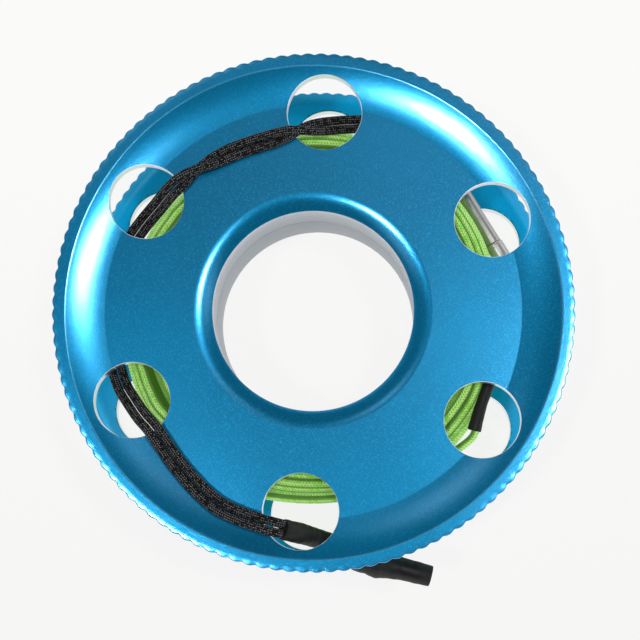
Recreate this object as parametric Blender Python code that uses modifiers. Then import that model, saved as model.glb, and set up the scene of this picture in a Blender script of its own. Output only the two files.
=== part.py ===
"""Finger spool for diving line: two dished flanges on a two-piece hub, with its line,
the swivel on the line's end and the elastic cord that is laced through the flange holes.

Metres, +Z up. The spool lies on its rear flange, with its axis on Z and the bottom of
the rear rim at z = 0.
"""

from math import atan, atan2, cos, pi, radians, sin, sqrt, tau

import bmesh
import bpy
from mathutils import Matrix, Vector

# Spool as a whole
FLANGE_DIAMETER = 0.105
SPOOL_WIDTH = 0.036
SEAT_GAP = 0.0003
CUT_OVERRUN = 0.002
MERGE_DISTANCE = 0.00001

# Flanges
DRAWN_FLANGE_DIAMETER = 0.105
WEB_THICKNESS = 0.003
WEB_RECESS = 0.00175
SCALLOP_COUNT = 120
SCALLOP_DEPTH = 0.0004
SCALLOP_POINTS = 3
SCALLOP_TURN = radians(26.8)
RIM_RING_WIDTH = 0.0026
COVE_WIDTH = 0.0079
COVE_START_SLOPE = radians(6)
HOLE_COUNT = 6
HOLE_DIAMETER = 0.01524
HOLE_PITCH_SHARE = 0.77143
HOLE_TURN = radians(26.87)
LIP_WIDTH = 0.00375
LIP_DROP = 0.0012
LIP_CROWN_RADIUS = 0.008
LIP_EDGE_THICKNESS = 0.0006

# Hub
FINGER_BORE_DIAMETER = 0.0407
LIP_OVERHANG = 0.0002
HUB_WALL = 0.00445
HUB_SHOULDER = 0.0016
RETAINER_STEP = 0.0008
HEAD_OVERHANG = 0.0026
RETAINER_HEAD_THICKNESS = 0.0016
MOUTH_DEPTH = 0.0046
MOUTH_WIDTH = 0.00405
BORE_SEAM_DEPTH = 0.0164

# Line and its winding
LINE_DIAMETER = 0.0016
PACK_SHARE = 0.71238
SHOULDER_WIDTH = 0.006
SHOULDER_DROP = 0.004
TURN_COUNT = 11
REAR_SHOULDER_TURN = radians(35)
WINDING_START_ANGLE = radians(180)
LINE_BEND_RADIUS = 0.0018
ANCHOR_KNOT_DIAMETER = 0.0034
ANCHOR_KNOT_ANGLE = radians(100)
TAIL_REAR_DISTANCE = 0.00335
TAIL_FRONT_DISTANCE = 0.00255

# Swivel between the line's loop and the elastic cord
SWIVEL_AXIS_SHARE = 0.76762
SWIVEL_TURN = radians(30.54)
BARREL_FRONT_DISTANCE = 0.00495
BARREL_LENGTH = 0.018
BARREL_NARROW_DIAMETER = 0.0028
BARREL_WIDE_DIAMETER = 0.0034
BARREL_BORE_DIAMETER = 0.0021
BARREL_MOUTH_DIAMETER = 0.0013
BARREL_END_THICKNESS = 0.0009
STUD_SHANK_DIAMETER = 0.0007
STUD_HEAD_DIAMETER = 0.0015
STUD_HEAD_LENGTH = 0.0012
COLLAR_DIAMETER = 0.0038
COLLAR_LENGTH = 0.0044
COLLAR_ROUND = 0.0009
NECK_DIAMETER = 0.0016
NECK_LENGTH = 0.0012
NECK_OVERLAP = 0.00017
EYE_WIRE_DIAMETER = 0.0012
EYE_DIAMETER = 0.0044

# Elastic cord, its knot and its sleeve
CORD_DIAMETER = 0.0019
CORD_SPACING = 0.0022
EYE_LOOP_RADIUS = 0.0019
SLEEVE_WALL = 0.0006
SLEEVE_BORE_START = 7
KNOT_DIAMETER = 0.0040
KNOT_LENGTH = 0.0052
KNOT_SPAN = (8, 10)

# Counts of flat facets round each turned, drilled or swept shape, and along its curved outlines
COVE_STEPS = 4
LIP_STEPS = 3
MOUTH_STEPS = 4
SHOULDER_STEPS = 4
SHOULDER_PATH_STEPS = 30
LINE_BEND_STEPS = 4
COLLAR_ROUND_STEPS = 3
KNOT_STEPS = 12
KNOT_RINGS = 8
TUBE_BEVEL_STEPS = 2
TURNS_BEVEL_STEPS = 1
FLANGE_STEPS = 60
HUB_STEPS = 48
PACK_STEPS = 48
HOLE_STEPS = 24
STUD_STEPS = 12
EYE_STEPS = 16
EYE_WIRE_STEPS = 8
EYE_LOOP_STEPS = 6
TURN_POINTS = 24
CURVE_STEPS = 12
ROUTE_STEP_DIAMETERS = 2.4

# Sizes that follow from the ones above
FLANGE_RADIUS = FLANGE_DIAMETER / 2
ROUTE_SCALE = FLANGE_DIAMETER / DRAWN_FLANGE_DIAMETER
MID_HEIGHT = SPOOL_WIDTH / 2
HOLE_PITCH_RADIUS = FLANGE_RADIUS * HOLE_PITCH_SHARE
LIP_RADIUS = FINGER_BORE_DIAMETER / 2
HUB_BORE_RADIUS = LIP_RADIUS + LIP_OVERHANG
HUB_BARREL_RADIUS = LIP_RADIUS + HUB_WALL
HUB_NOSE_RADIUS = HUB_BARREL_RADIUS - HUB_SHOULDER
RETAINER_RADIUS = HUB_NOSE_RADIUS - RETAINER_STEP
RETAINER_HEAD_RADIUS = RETAINER_RADIUS + HEAD_OVERHANG
RIM_RING_RADIUS = FLANGE_RADIUS - RIM_RING_WIDTH
COVE_INNER_RADIUS = RIM_RING_RADIUS - COVE_WIDTH
INNER_FACE_DEPTH = WEB_RECESS + WEB_THICKNESS
LIP_DEPTH = WEB_RECESS + LIP_DROP
SEAT_DEPTH = LIP_DEPTH + LIP_EDGE_THICKNESS
FRONT_INNER_Z = SPOOL_WIDTH - INNER_FACE_DEPTH
REAR_INNER_Z = INNER_FACE_DEPTH
LINE_RADIUS = LINE_DIAMETER / 2
PACK_LINE_RADIUS = FLANGE_RADIUS * PACK_SHARE - LINE_RADIUS
PACK_HALF_WIDTH = MID_HEIGHT - INNER_FACE_DEPTH - SEAT_GAP - LINE_RADIUS
CORD_RADIUS = CORD_DIAMETER / 2
SWIVEL_AXIS_RADIUS = FLANGE_RADIUS * SWIVEL_AXIS_SHARE
BARREL_BACK_DISTANCE = BARREL_FRONT_DISTANCE - BARREL_LENGTH
LINE_EYE_REACH = SEAT_GAP + COLLAR_LENGTH + NECK_LENGTH + EYE_DIAMETER / 2
CORD_EYE_REACH = SEAT_GAP + NECK_LENGTH + EYE_DIAMETER / 2

# Each point of a route is x, y and its depth under the front rim, for DRAWN_FLANGE_DIAMETER

# Route of the elastic cord's two strands, from its sleeve to the swivel's eye, as the
# middle line between them
CORD_ROUTE = (
    (-0.0058, -0.0439, 0.0002),
    (-0.0078, -0.0434, -0.0006),
    (-0.0103, -0.0427, -0.0004),
    (-0.0148, -0.0411, -0.0001),
    (-0.0188, -0.0391, 0.0000),
    (-0.0230, -0.0354, 0.0002),
    (-0.0268, -0.0311, 0.0003),
    (-0.0295, -0.0274, 0.0003),
    (-0.0319, -0.0240, 0.0002),
    (-0.0342, -0.0215, 0.0015),
    (-0.0365, -0.0185, 0.0038),
    (-0.0388, -0.0150, 0.0056),
    (-0.0403, -0.0105, 0.0065),
    (-0.0412, -0.0040, 0.0070),
    (-0.0413, 0.0030, 0.0072),
    (-0.0402, 0.0095, 0.0070),
    (-0.0380, 0.0140, 0.0065),
    (-0.0352, 0.0178, 0.0053),
    (-0.0318, 0.0213, 0.0032),
    (-0.0290, 0.0240, 0.0009),
    (-0.0266, 0.0260, 0.0002),
    (-0.0235, 0.0283, 0.0003),
    (-0.0200, 0.0303, 0.0003),
    (-0.0160, 0.0322, 0.0003),
    (-0.0120, 0.0336, 0.0003),
    (-0.0080, 0.0348, 0.0003),
    (-0.0042, 0.0359, 0.0000),
    (-0.0010, 0.0369, 0.0010),
    (0.0022, 0.0379, 0.0032),
    (0.0060, 0.0387, 0.0052),
    (0.0100, 0.0392, 0.0066),
    (0.0150, 0.0403, 0.0090),
    (0.0200, 0.0408, 0.0122),
    (0.0233, 0.0397, 0.0156),
)

# Route of the sleeve on the elastic cord's knotted ends, with its radius at each point
CORD_SLEEVE_ROUTE = (
    (-0.0054, -0.0440, 0.0010, 0.0021),
    (-0.0038, -0.0444, 0.0021, 0.0021),
    (-0.0020, -0.0448, 0.0038, 0.0021),
    (-0.0004, -0.0453, 0.0054, 0.0020),
    (0.0012, -0.0458, 0.0065, 0.0020),
    (0.0032, -0.0466, 0.0071, 0.0021),
    (0.0052, -0.0474, 0.0073, 0.0023),
    (0.0075, -0.0483, 0.0075, 0.0028),
    (0.0095, -0.0491, 0.0076, 0.0032),
    (0.0115, -0.0498, 0.0076, 0.0031),
    (0.0135, -0.0505, 0.0076, 0.0032),
    (0.0155, -0.0511, 0.0077, 0.0026),
    (0.0180, -0.0517, 0.0079, 0.0023),
    (0.0208, -0.0524, 0.0081, 0.0022),
    (0.0236, -0.0531, 0.0083, 0.0021),
)

# Route of the shrunk sleeve on the line's end, with its radius at each point
LINE_SLEEVE_ROUTE = (
    (0.0326, -0.0237, 0.0072, 0.0014),
    (0.0332, -0.0214, 0.0071, 0.0013),
    (0.0340, -0.0187, 0.0071, 0.0012),
    (0.0350, -0.0160, 0.0072, 0.0012),
    (0.0360, -0.0133, 0.0073, 0.0013),
    (0.0371, -0.0107, 0.0075, 0.0019),
    (0.0380, -0.0086, 0.0079, 0.0019),
)

# Route of the line's doubled loop from that sleeve to the swivel's other eye
LOOP_ROUTE = (
    (0.0382, -0.0082, 0.0080),
    (0.0393, -0.0060, 0.0085),
    (0.0412, -0.0031, 0.0097),
    (0.0432, -0.0002, 0.0120),
    (0.0441, 0.0030, 0.0148),
)

# The line's tail between the last turn and its sleeve: angle, share of the flange's radius,
# and share of the way from the height where it starts to the height of its sleeve
TAIL_ROUTE = (
    (-170, 0.7086, 0.0000),
    (-160, 0.7333, 0.0437),
    (-149, 0.7448, 0.1990),
    (-138, 0.7448, 0.4417),
    (-125, 0.7448, 0.6990),
    (-110, 0.7410, 0.8786),
    (-95, 0.7371, 0.9757),
    (-80, 0.7352, 0.9951),
    (-65, 0.7390, 1.0000),
    (-54, 0.7505, 1.0000),
    (-46, 0.7638, 1.0000),
)


def clear_scene():
    """Remove whatever the scene holds, so that it holds only this part."""
    for item in list(bpy.data.objects):
        bpy.data.objects.remove(item, do_unlink=True)
    for group in list(bpy.data.collections):
        bpy.data.collections.remove(group)


def make_collection(name):
    group = bpy.data.collections.new(name)
    bpy.context.scene.collection.children.link(group)
    return group


def make_material(name, colour, roughness, metallic):
    """A Principled material in one colour."""
    material = bpy.data.materials.new(name)
    material.use_nodes = True
    shader = material.node_tree.nodes["Principled BSDF"]
    shader.inputs["Base Color"].default_value = (*colour, 1.0)
    shader.inputs["Roughness"].default_value = roughness
    shader.inputs["Metallic"].default_value = metallic
    material.diffuse_color = (*colour, 1.0)
    return material


def add_object(name, data, group, material=None):
    item = bpy.data.objects.new(name, data)
    group.objects.link(item)
    if material is not None:
        data.materials.append(material)
    return item


def mesh_from(name, sketch):
    mesh = bpy.data.meshes.new(name)
    sketch.to_mesh(mesh)
    sketch.free()
    return mesh


def as_cutter(item):
    """Hide an object that only cuts, trims or joins others."""
    item.hide_render = True
    item.display_type = "WIRE"
    return item


def boolean(item, cutter, operation):
    modifier = item.modifiers.new(cutter.name, "BOOLEAN")
    modifier.operation = operation
    modifier.object = cutter
    modifier.solver = "EXACT"
    return modifier


def arc(centre, radius, start, end, count):
    """Points of an arc in a turned profile, both ends included."""
    steps = range(count + 1)
    angles = [start + (end - start) * step / count for step in steps]
    return [(centre[0] + radius * cos(a), centre[1] + radius * sin(a)) for a in angles]


def turned(name, profile, steps, group, material):
    """A solid turned about Z from an outline of (radius, height) points.

    The outline runs down on its outer side, and closes on itself or along the axis."""
    sketch = bmesh.new()
    verts = [sketch.verts.new((radius, 0, height)) for radius, height in profile]
    for start, end in zip(verts, verts[1:] + verts[:1]):
        if start.co.x or end.co.x:
            sketch.edges.new((start, end))
    item = add_object(name, mesh_from(name, sketch), group, material)
    screw = item.modifiers.new("Turn", "SCREW")
    screw.steps = steps
    screw.render_steps = steps
    screw.use_merge_vertices = True
    screw.merge_threshold = MERGE_DISTANCE
    screw.use_smooth_shade = True
    return item


def smooth_curve(points, spacing):
    """Points about a spacing apart on a smooth curve through the given points."""
    fine = fine_curve(points)
    length = sum((end - start).length for start, end in zip(fine, fine[1:]))
    return spread(fine, max(2, round(length / spacing)))


def fine_curve(points):
    """Many points on a smooth curve through the given points."""
    first = points[0] * 2 - points[1]
    last = points[-1] * 2 - points[-2]
    knots = [first, *points, last]
    fine = []
    for before, start, end, after in zip(knots, knots[1:], knots[2:], knots[3:]):
        for step in range(CURVE_STEPS):
            t = step / CURVE_STEPS
            bend = 2 * start + (end - before) * t
            bend += (2 * before - 5 * start + 4 * end - after) * t ** 2
            bend += (3 * start - before - 3 * end + after) * t ** 3
            fine.append(bend / 2)
    fine.append(points[-1])
    return fine


def spread(fine, count):
    """The ends of equal steps along a fine chain of points."""
    lengths = [0.0]
    for start, end in zip(fine, fine[1:]):
        lengths.append(lengths[-1] + (end - start).length)
    result = []
    index = 0
    for step in range(count + 1):
        target = lengths[-1] * step / count
        while index < len(fine) - 2 and lengths[index + 1] < target:
            index += 1
        span = lengths[index + 1] - lengths[index]
        share = (target - lengths[index]) / span if span else 0
        result.append(fine[index].lerp(fine[index + 1], share))
    return result


def tube(name, points, radius, resolution, group, material, radii=None):
    """A round tube along points, with flat filled ends."""
    curve = bpy.data.curves.new(name, "CURVE")
    curve.dimensions = "3D"
    curve.bevel_depth = radius
    curve.bevel_resolution = resolution
    curve.use_fill_caps = True
    spline = curve.splines.new("POLY")
    spline.points.add(len(points) - 1)
    for index, point in enumerate(points):
        spline.points[index].co = (*point, 1)
        if radii:
            spline.points[index].radius = radii[index] / radius
    spline.use_smooth = True
    return add_object(name, curve, group, material)


def solid_from_curve(item):
    """Turn a curve object into a closed mesh object in the same place."""
    bpy.context.view_layer.update()
    evaluated = item.evaluated_get(bpy.context.evaluated_depsgraph_get())
    mesh = bpy.data.meshes.new_from_object(evaluated)
    sketch = bmesh.new()
    sketch.from_mesh(mesh)
    bmesh.ops.remove_doubles(sketch, verts=sketch.verts[:], dist=MERGE_DISTANCE)
    sketch.to_mesh(mesh)
    sketch.free()
    name = item.name
    group = item.users_collection[0]
    place = item.matrix_world.copy()
    bpy.data.objects.remove(item, do_unlink=True)
    result = bpy.data.objects.new(name, mesh)
    result.matrix_world = place
    group.objects.link(result)
    return result


def ball(name, diameter, place, group, material):
    """A round knot."""
    sketch = bmesh.new()
    bmesh.ops.create_uvsphere(sketch, u_segments=KNOT_STEPS, v_segments=KNOT_RINGS, radius=diameter / 2)
    bmesh.ops.transform(sketch, matrix=place, verts=sketch.verts[:])
    return add_object(name, mesh_from(name, sketch), group, material)


def block_cutter(name, size, place, cutters):
    """A box that cuts room for something."""
    sketch = bmesh.new()
    bmesh.ops.create_cube(sketch, size=1)
    bmesh.ops.transform(sketch, matrix=place @ Matrix.Diagonal((*size, 1)), verts=sketch.verts[:])
    return as_cutter(add_object(name, mesh_from(name, sketch), cutters))


def cylindrical(radius, angle, height):
    return Vector((radius * cos(angle), radius * sin(angle), height))


def drawn(row):
    """The place of a route's point, across the flange and under its front rim."""
    across, up, depth = row[:3]
    return Vector((across * ROUTE_SCALE, up * ROUTE_SCALE, SPOOL_WIDTH - depth))


def tail_point(angle, radius_share, height_share):
    low = REAR_INNER_Z + TAIL_REAR_DISTANCE
    high = FRONT_INNER_Z - TAIL_FRONT_DISTANCE
    height = low + (high - low) * height_share
    return cylindrical(FLANGE_RADIUS * radius_share, radians(angle), height)


def cove_outline(offset):
    """The dished part of a flange face from the web out to the rim ring."""
    half = atan(WEB_RECESS / COVE_WIDTH) - COVE_START_SLOPE
    radius = sqrt(WEB_RECESS ** 2 + COVE_WIDTH ** 2) / 2 / sin(half)
    centre_radius = COVE_INNER_RADIUS - radius * sin(COVE_START_SLOPE)
    centre = (centre_radius, radius * cos(COVE_START_SLOPE) - WEB_RECESS - offset)
    start = COVE_START_SLOPE - pi / 2
    return arc(centre, radius, start, start + 2 * half, COVE_STEPS)


def lip_outline():
    """The rounded lip from the bore out to its crease in the web."""
    chord = sqrt(LIP_WIDTH ** 2 + LIP_DROP ** 2)
    slope = atan(LIP_DROP / LIP_WIDTH)
    reach = sqrt(LIP_CROWN_RADIUS ** 2 - (chord / 2) ** 2)
    middle = (LIP_RADIUS + LIP_WIDTH / 2, -LIP_DEPTH + LIP_DROP / 2)
    centre = (middle[0] + reach * sin(slope), middle[1] - reach * cos(slope))
    half = atan(chord / 2 / reach)
    facing = pi / 2 + slope
    return arc(centre, LIP_CROWN_RADIUS, facing + half, facing - half, LIP_STEPS)


def flange_face():
    """Outline of a flange's outer face, from its web out past its scallops."""
    blank_radius = FLANGE_RADIUS + CUT_OVERRUN
    return [*cove_outline(0), (blank_radius, 0)]


def flange_back():
    """Outline of a flange's inner face, from past its scallops in to its web."""
    blank_radius = FLANGE_RADIUS + CUT_OVERRUN
    back = list(reversed(cove_outline(WEB_THICKNESS)))
    return [(blank_radius, -WEB_THICKNESS), *back]


def front_flange_outline():
    """The front flange's lip hangs over the hub's nose, which sits in a counterbore."""
    seat_radius = HUB_NOSE_RADIUS + SEAT_GAP
    lip = lip_outline()
    seat = [(seat_radius, -INNER_FACE_DEPTH), (seat_radius, -SEAT_DEPTH), (LIP_RADIUS, -SEAT_DEPTH)]
    return [*lip, *flange_face(), *flange_back(), *seat]


def rear_flange_outline():
    """The rear flange is clamped under the retainer's head, which lies in its web."""
    head_radius = RETAINER_HEAD_RADIUS + SEAT_GAP
    bore_radius = RETAINER_RADIUS + SEAT_GAP
    ledge_depth = WEB_RECESS + RETAINER_HEAD_THICKNESS + SEAT_GAP
    top = [(bore_radius, -ledge_depth), (head_radius, -ledge_depth), (head_radius, -WEB_RECESS)]
    return [*top, *flange_face(), *flange_back(), (bore_radius, -INNER_FACE_DEPTH)]


def scallop_radius(index):
    """Narrow notches between wide bumps, with one notch every few outline points."""
    notch = index % SCALLOP_POINTS == 0
    return FLANGE_RADIUS - (SCALLOP_DEPTH if notch else 0)


def scallop_trimmer(cutters):
    """A disc with the flanges' scalloped outline, to trim their blanks."""
    count = SCALLOP_COUNT * SCALLOP_POINTS
    depth = SPOOL_WIDTH * 2
    sketch = bmesh.new()
    bmesh.ops.create_cone(
        sketch, cap_ends=True, segments=count, radius1=FLANGE_RADIUS, radius2=FLANGE_RADIUS, depth=depth
    )
    for vert in sketch.verts:
        angle = atan2(vert.co.y, vert.co.x)
        radius = scallop_radius(round(angle / tau * count) % count)
        vert.co.x = radius * cos(angle)
        vert.co.y = radius * sin(angle)
    turn = Matrix.Rotation(SCALLOP_TURN - HOLE_TURN, 4, "Z")
    bmesh.ops.transform(sketch, matrix=turn, verts=sketch.verts[:])
    name = "scallop_trimmer"
    return as_cutter(add_object(name, mesh_from(name, sketch), cutters))


def hole_cutter(cutters):
    """The six drills of a flange, as one mesh."""
    depth = SPOOL_WIDTH * 2
    sketch = bmesh.new()
    for index in range(HOLE_COUNT):
        angle = tau * index / HOLE_COUNT
        place = Matrix.Translation(cylindrical(HOLE_PITCH_RADIUS, angle, 0))
        bmesh.ops.create_cone(
            sketch, cap_ends=True, segments=HOLE_STEPS, radius1=HOLE_DIAMETER / 2,
            radius2=HOLE_DIAMETER / 2, depth=depth, matrix=place
        )
    return as_cutter(add_object("hole_drills", mesh_from("hole_drills", sketch), cutters))


def blue_aluminium(name):
    return make_material(name, (0.02, 0.25, 0.52), 0.35, 0.9)


def white_acetal(name):
    return make_material(name, (0.86, 0.88, 0.9), 0.4, 0.0)


def make_flanges(parts, cutters):
    material = blue_aluminium("front_flange_blue")
    front = turned("front_flange", front_flange_outline(), FLANGE_STEPS, parts, material)
    front.matrix_world = Matrix.Translation((0, 0, SPOOL_WIDTH)) @ Matrix.Rotation(HOLE_TURN, 4, "Z")
    material = blue_aluminium("rear_flange_blue")
    rear = turned("rear_flange", rear_flange_outline(), FLANGE_STEPS, parts, material)
    rear.matrix_world = Matrix.Rotation(HOLE_TURN, 4, "Z") @ Matrix.Rotation(pi, 4, "X")
    trimmer = scallop_trimmer(cutters)
    drills = hole_cutter(cutters)
    middle = Matrix.Translation((0, 0, MID_HEIGHT)) @ Matrix.Rotation(HOLE_TURN, 4, "Z")
    trimmer.matrix_world = middle
    drills.matrix_world = middle
    for flange in (front, rear):
        boolean(flange, trimmer, "INTERSECT")
        boolean(flange, drills, "DIFFERENCE")


def make_hub(parts):
    """The barrel holds the flanges apart, and the retainer screws into it from behind."""
    nose_radius = HUB_NOSE_RADIUS
    barrel_radius = HUB_BARREL_RADIUS
    socket_radius = RETAINER_RADIUS + SEAT_GAP
    nose_z = SPOOL_WIDTH - SEAT_DEPTH - SEAT_GAP
    seam_z = SPOOL_WIDTH - BORE_SEAM_DEPTH
    seam_gap = SEAT_GAP / 2
    barrel = [
        (HUB_BORE_RADIUS, nose_z),
        (nose_radius, nose_z),
        (nose_radius, FRONT_INNER_Z - SEAT_GAP),
        (barrel_radius, FRONT_INNER_Z - SEAT_GAP),
        (barrel_radius, REAR_INNER_Z + SEAT_GAP),
        (socket_radius, REAR_INNER_Z + SEAT_GAP),
        (socket_radius, seam_z + seam_gap),
        (HUB_BORE_RADIUS, seam_z + seam_gap),
    ]
    turned("hub_barrel", barrel, HUB_STEPS, parts, white_acetal("hub_barrel_white"))
    tube_radius = RETAINER_RADIUS
    head_radius = RETAINER_HEAD_RADIUS
    head_top = WEB_RECESS + RETAINER_HEAD_THICKNESS
    mouth_top = WEB_RECESS + MOUTH_DEPTH
    mouth = []
    for step in range(MOUTH_STEPS + 1):
        angle = pi / 2 * (1 - step / MOUTH_STEPS)
        mouth.append((
            HUB_BORE_RADIUS + MOUTH_WIDTH * (1 - cos(angle)),
            mouth_top - MOUTH_DEPTH * sin(angle),
        ))
    retainer = [
        (HUB_BORE_RADIUS, seam_z - seam_gap),
        (tube_radius, seam_z - seam_gap),
        (tube_radius, head_top),
        (head_radius, head_top),
        (head_radius, WEB_RECESS),
        *mouth,
    ]
    turned("hub_retainer", retainer, HUB_STEPS, parts, white_acetal("hub_retainer_white"))


def pack_point(turn, side, inset):
    """A point of the wound pack's rounded shoulder, some way inside the line's middle.

    turn is 0 where the shoulder meets the pack's straight part and 90 degrees where it
    meets the flange. side is +1 at the front and -1 at the rear."""
    radius = PACK_LINE_RADIUS - SHOULDER_DROP * (1 - cos(turn))
    width = PACK_HALF_WIDTH - SHOULDER_WIDTH * (1 - sin(turn))
    normal = Vector((cos(turn) / SHOULDER_DROP, sin(turn) / SHOULDER_WIDTH)).normalized()
    return radius - inset * normal.x, MID_HEIGHT + side * (width - inset * normal.y)


def pack_path():
    """(radius, height) of the line's middle from the front flange round to the rear shoulder."""
    shares = [step / SHOULDER_PATH_STEPS for step in range(SHOULDER_PATH_STEPS + 1)]
    front = [pack_point(pi / 2 * (1 - share), 1, 0) for share in shares]
    rear = [pack_point(REAR_SHOULDER_TURN * share, -1, 0) for share in shares]
    return [Vector((radius, height, 0)) for radius, height in front + rear]


def winding_points():
    """The line's middle: up out of the inner layers, round the pack, and off to its sleeve."""
    count = TURN_COUNT * TURN_POINTS
    rows = spread(pack_path(), count)
    start = rows[0]
    points = []
    bend_radius = start.x - LINE_BEND_RADIUS
    rise = [
        cylindrical(bend_radius - LINE_DIAMETER, 0, start.y),
        cylindrical(bend_radius - LINE_RADIUS, 0, start.y),
        cylindrical(bend_radius, 0, start.y),
    ]
    for step in range(1, LINE_BEND_STEPS):
        angle = pi / 2 * step / LINE_BEND_STEPS
        across = LINE_BEND_RADIUS * (1 - cos(angle))
        rise.append(Vector((bend_radius + LINE_BEND_RADIUS * sin(angle), across, start.y)))
    turn = Matrix.Rotation(WINDING_START_ANGLE, 4, "Z")
    points.extend(turn @ point for point in rise)
    first_angle = WINDING_START_ANGLE + LINE_BEND_RADIUS / start.x
    for index, row in enumerate(rows):
        points.append(cylindrical(row.x, first_angle + tau * index / TURN_POINTS, row.y))
    tail = [points[-1]]
    tail.extend(tail_point(*row) for row in TAIL_ROUTE)
    sleeve_start = drawn(LINE_SLEEVE_ROUTE[0])
    into = (drawn(LINE_SLEEVE_ROUTE[1]) - sleeve_start).normalized()
    end = sleeve_start - into * SEAT_GAP
    tail.append(end - into * LINE_DIAMETER)
    points.extend(smooth_curve(tail, LINE_DIAMETER * ROUTE_STEP_DIAMETERS)[1:])
    points.append(end)
    return points


def least_self_gap(points, radius, apart):
    """Least clear distance between stretches of one tube that are not neighbours along it."""
    gaps = []
    for index, point in enumerate(points):
        for other in range(index + apart, len(points) - 1):
            start = points[other]
            run = points[other + 1] - start
            share = max(0, min(1, (point - start).dot(run) / run.length_squared))
            gaps.append((start + run * share - point).length - 2 * radius)
    return min(gaps)


def make_winding(parts, cutters):
    """The outer turns as one line, over a plain core that stands for the inner layers."""
    line = make_material("green_line", (0.35, 0.85, 0.12), 0.8, 0.0)
    core_material = make_material("green_line_inner", (0.22, 0.62, 0.1), 0.85, 0.0)
    inset = LINE_RADIUS + SEAT_GAP
    side_z = PACK_HALF_WIDTH + LINE_RADIUS
    step_radius = PACK_LINE_RADIUS - SHOULDER_DROP - inset
    hub_radius = HUB_BARREL_RADIUS + SEAT_GAP
    shares = [step / SHOULDER_STEPS for step in range(SHOULDER_STEPS + 1)]
    front = [pack_point(pi / 2 * (1 - share), 1, inset) for share in shares]
    rear = [pack_point(pi / 2 * share, -1, inset) for share in shares]
    outline = [
        (hub_radius, MID_HEIGHT + side_z),
        (step_radius, MID_HEIGHT + side_z),
        (step_radius, front[0][1]),
        *front,
        *rear,
        (step_radius, rear[-1][1]),
        (step_radius, MID_HEIGHT - side_z),
        (hub_radius, MID_HEIGHT - side_z),
    ]
    core = turned("line_core", outline, PACK_STEPS, parts, core_material)
    boolean(core, line_notch(cutters, inset, step_radius), "DIFFERENCE")
    knot_radius = hub_radius + ANCHOR_KNOT_DIAMETER / 2
    knot_turn = Matrix.Rotation(ANCHOR_KNOT_ANGLE, 4, "Z")
    knot_place = knot_turn @ Matrix.Translation((knot_radius, 0, MID_HEIGHT))
    pocket_size = [ANCHOR_KNOT_DIAMETER + SEAT_GAP * 2] * 3
    boolean(core, block_cutter("knot_pocket", pocket_size, knot_place, cutters), "DIFFERENCE")
    knot_material = make_material("green_line_knot", (0.35, 0.85, 0.12), 0.8, 0.0)
    ball("line_anchor_knot", ANCHOR_KNOT_DIAMETER, knot_place, parts, knot_material)
    points = winding_points()
    tube("line_outer_turns", points, LINE_RADIUS, TURNS_BEVEL_STEPS, parts, line)
    gap = least_self_gap(points, LINE_RADIUS, TURN_POINTS // 2)
    print("line: least gap to itself in millimetres", round(gap * 1000, 3))


def line_notch(cutters, inset, step_radius):
    """Room at the front of the inner layers for the line to come up out of them."""
    start_radius, start_z = pack_point(pi / 2, 1, 0)
    length = start_radius - step_radius + LINE_BEND_RADIUS + LINE_DIAMETER + CUT_OVERRUN
    floor_radius = start_radius - LINE_BEND_RADIUS - LINE_DIAMETER - SEAT_GAP
    width = LINE_BEND_RADIUS * 2 + inset * 2
    height = inset + LINE_RADIUS + CUT_OVERRUN
    middle = (floor_radius + length / 2, width / 2 - inset, start_z - inset + height / 2)
    place = Matrix.Rotation(WINDING_START_ANGLE, 4, "Z") @ Matrix.Translation(middle)
    return block_cutter("line_notch", (length, width, height), place, cutters)


def make_line_end(parts):
    """The shrunk sleeve on the line's end, and the doubled loop that it closes."""
    sleeve = make_material("black_shrink_sleeve", (0.02, 0.02, 0.02), 0.6, 0.0)
    points, radii = tapered_route(LINE_SLEEVE_ROUTE)
    tube("line_end_sleeve", points, LINE_RADIUS, TUBE_BEVEL_STEPS, parts, sleeve, radii)
    line = make_material("green_loop", (0.4, 0.85, 0.15), 0.8, 0.0)
    middle = [drawn(row) for row in LOOP_ROUTE]
    eye = swivel_point(BARREL_FRONT_DISTANCE + LINE_EYE_REACH)
    points = eye_loop(middle, eye, LINE_DIAMETER + SEAT_GAP, LINE_DIAMETER)
    tube("line_end_loop", points, LINE_RADIUS, TUBE_BEVEL_STEPS, parts, line)


def tapered_route(route):
    """Points and radii along a sleeve's route."""
    points = [drawn(row) for row in route]
    radii = [row[3] for row in route]
    return points, radii


def strand_offset(points, index, spacing):
    """Half the strands' spacing, level and square to the route at one of its points."""
    before = points[max(index - 1, 0)]
    after = points[min(index + 1, len(points) - 1)]
    return Vector((0, 0, 1)).cross(after - before).normalized() * spacing / 2


def eye_loop(middle, eye, spacing, diameter):
    """One cord laid along a route, through the swivel's eye at its end, and back."""
    pull = (eye - middle[-1]).normalized()
    across = Vector((0, 0, 1)).cross(pull).normalized()
    turn_middle = eye - pull * EYE_LOOP_RADIUS
    bend = []
    for step in range(EYE_LOOP_STEPS + 1):
        angle = pi * step / EYE_LOOP_STEPS
        bend.append(turn_middle + (across * cos(angle) + pull * sin(angle)) * EYE_LOOP_RADIUS)
    out = [point + strand_offset(middle, index, spacing) for index, point in enumerate(middle)]
    back = [point - strand_offset(middle, index, spacing) for index, point in enumerate(middle)]
    out = smooth_curve([*out, bend[0]], diameter * ROUTE_STEP_DIAMETERS)
    back = smooth_curve([*back, bend[-1]], diameter * ROUTE_STEP_DIAMETERS)
    return [*out, *bend[1:-1], *reversed(back)]


def swivel_direction():
    """Along the swivel, from the elastic cord's eye to the line's eye."""
    return Vector((sin(SWIVEL_TURN), -cos(SWIVEL_TURN), 0))


def swivel_point(distance):
    """A point on the swivel's axis, from the point of it nearest to the spool's axis."""
    foot = cylindrical(SWIVEL_AXIS_RADIUS, SWIVEL_TURN, MID_HEIGHT)
    return foot + swivel_direction() * distance


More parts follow.
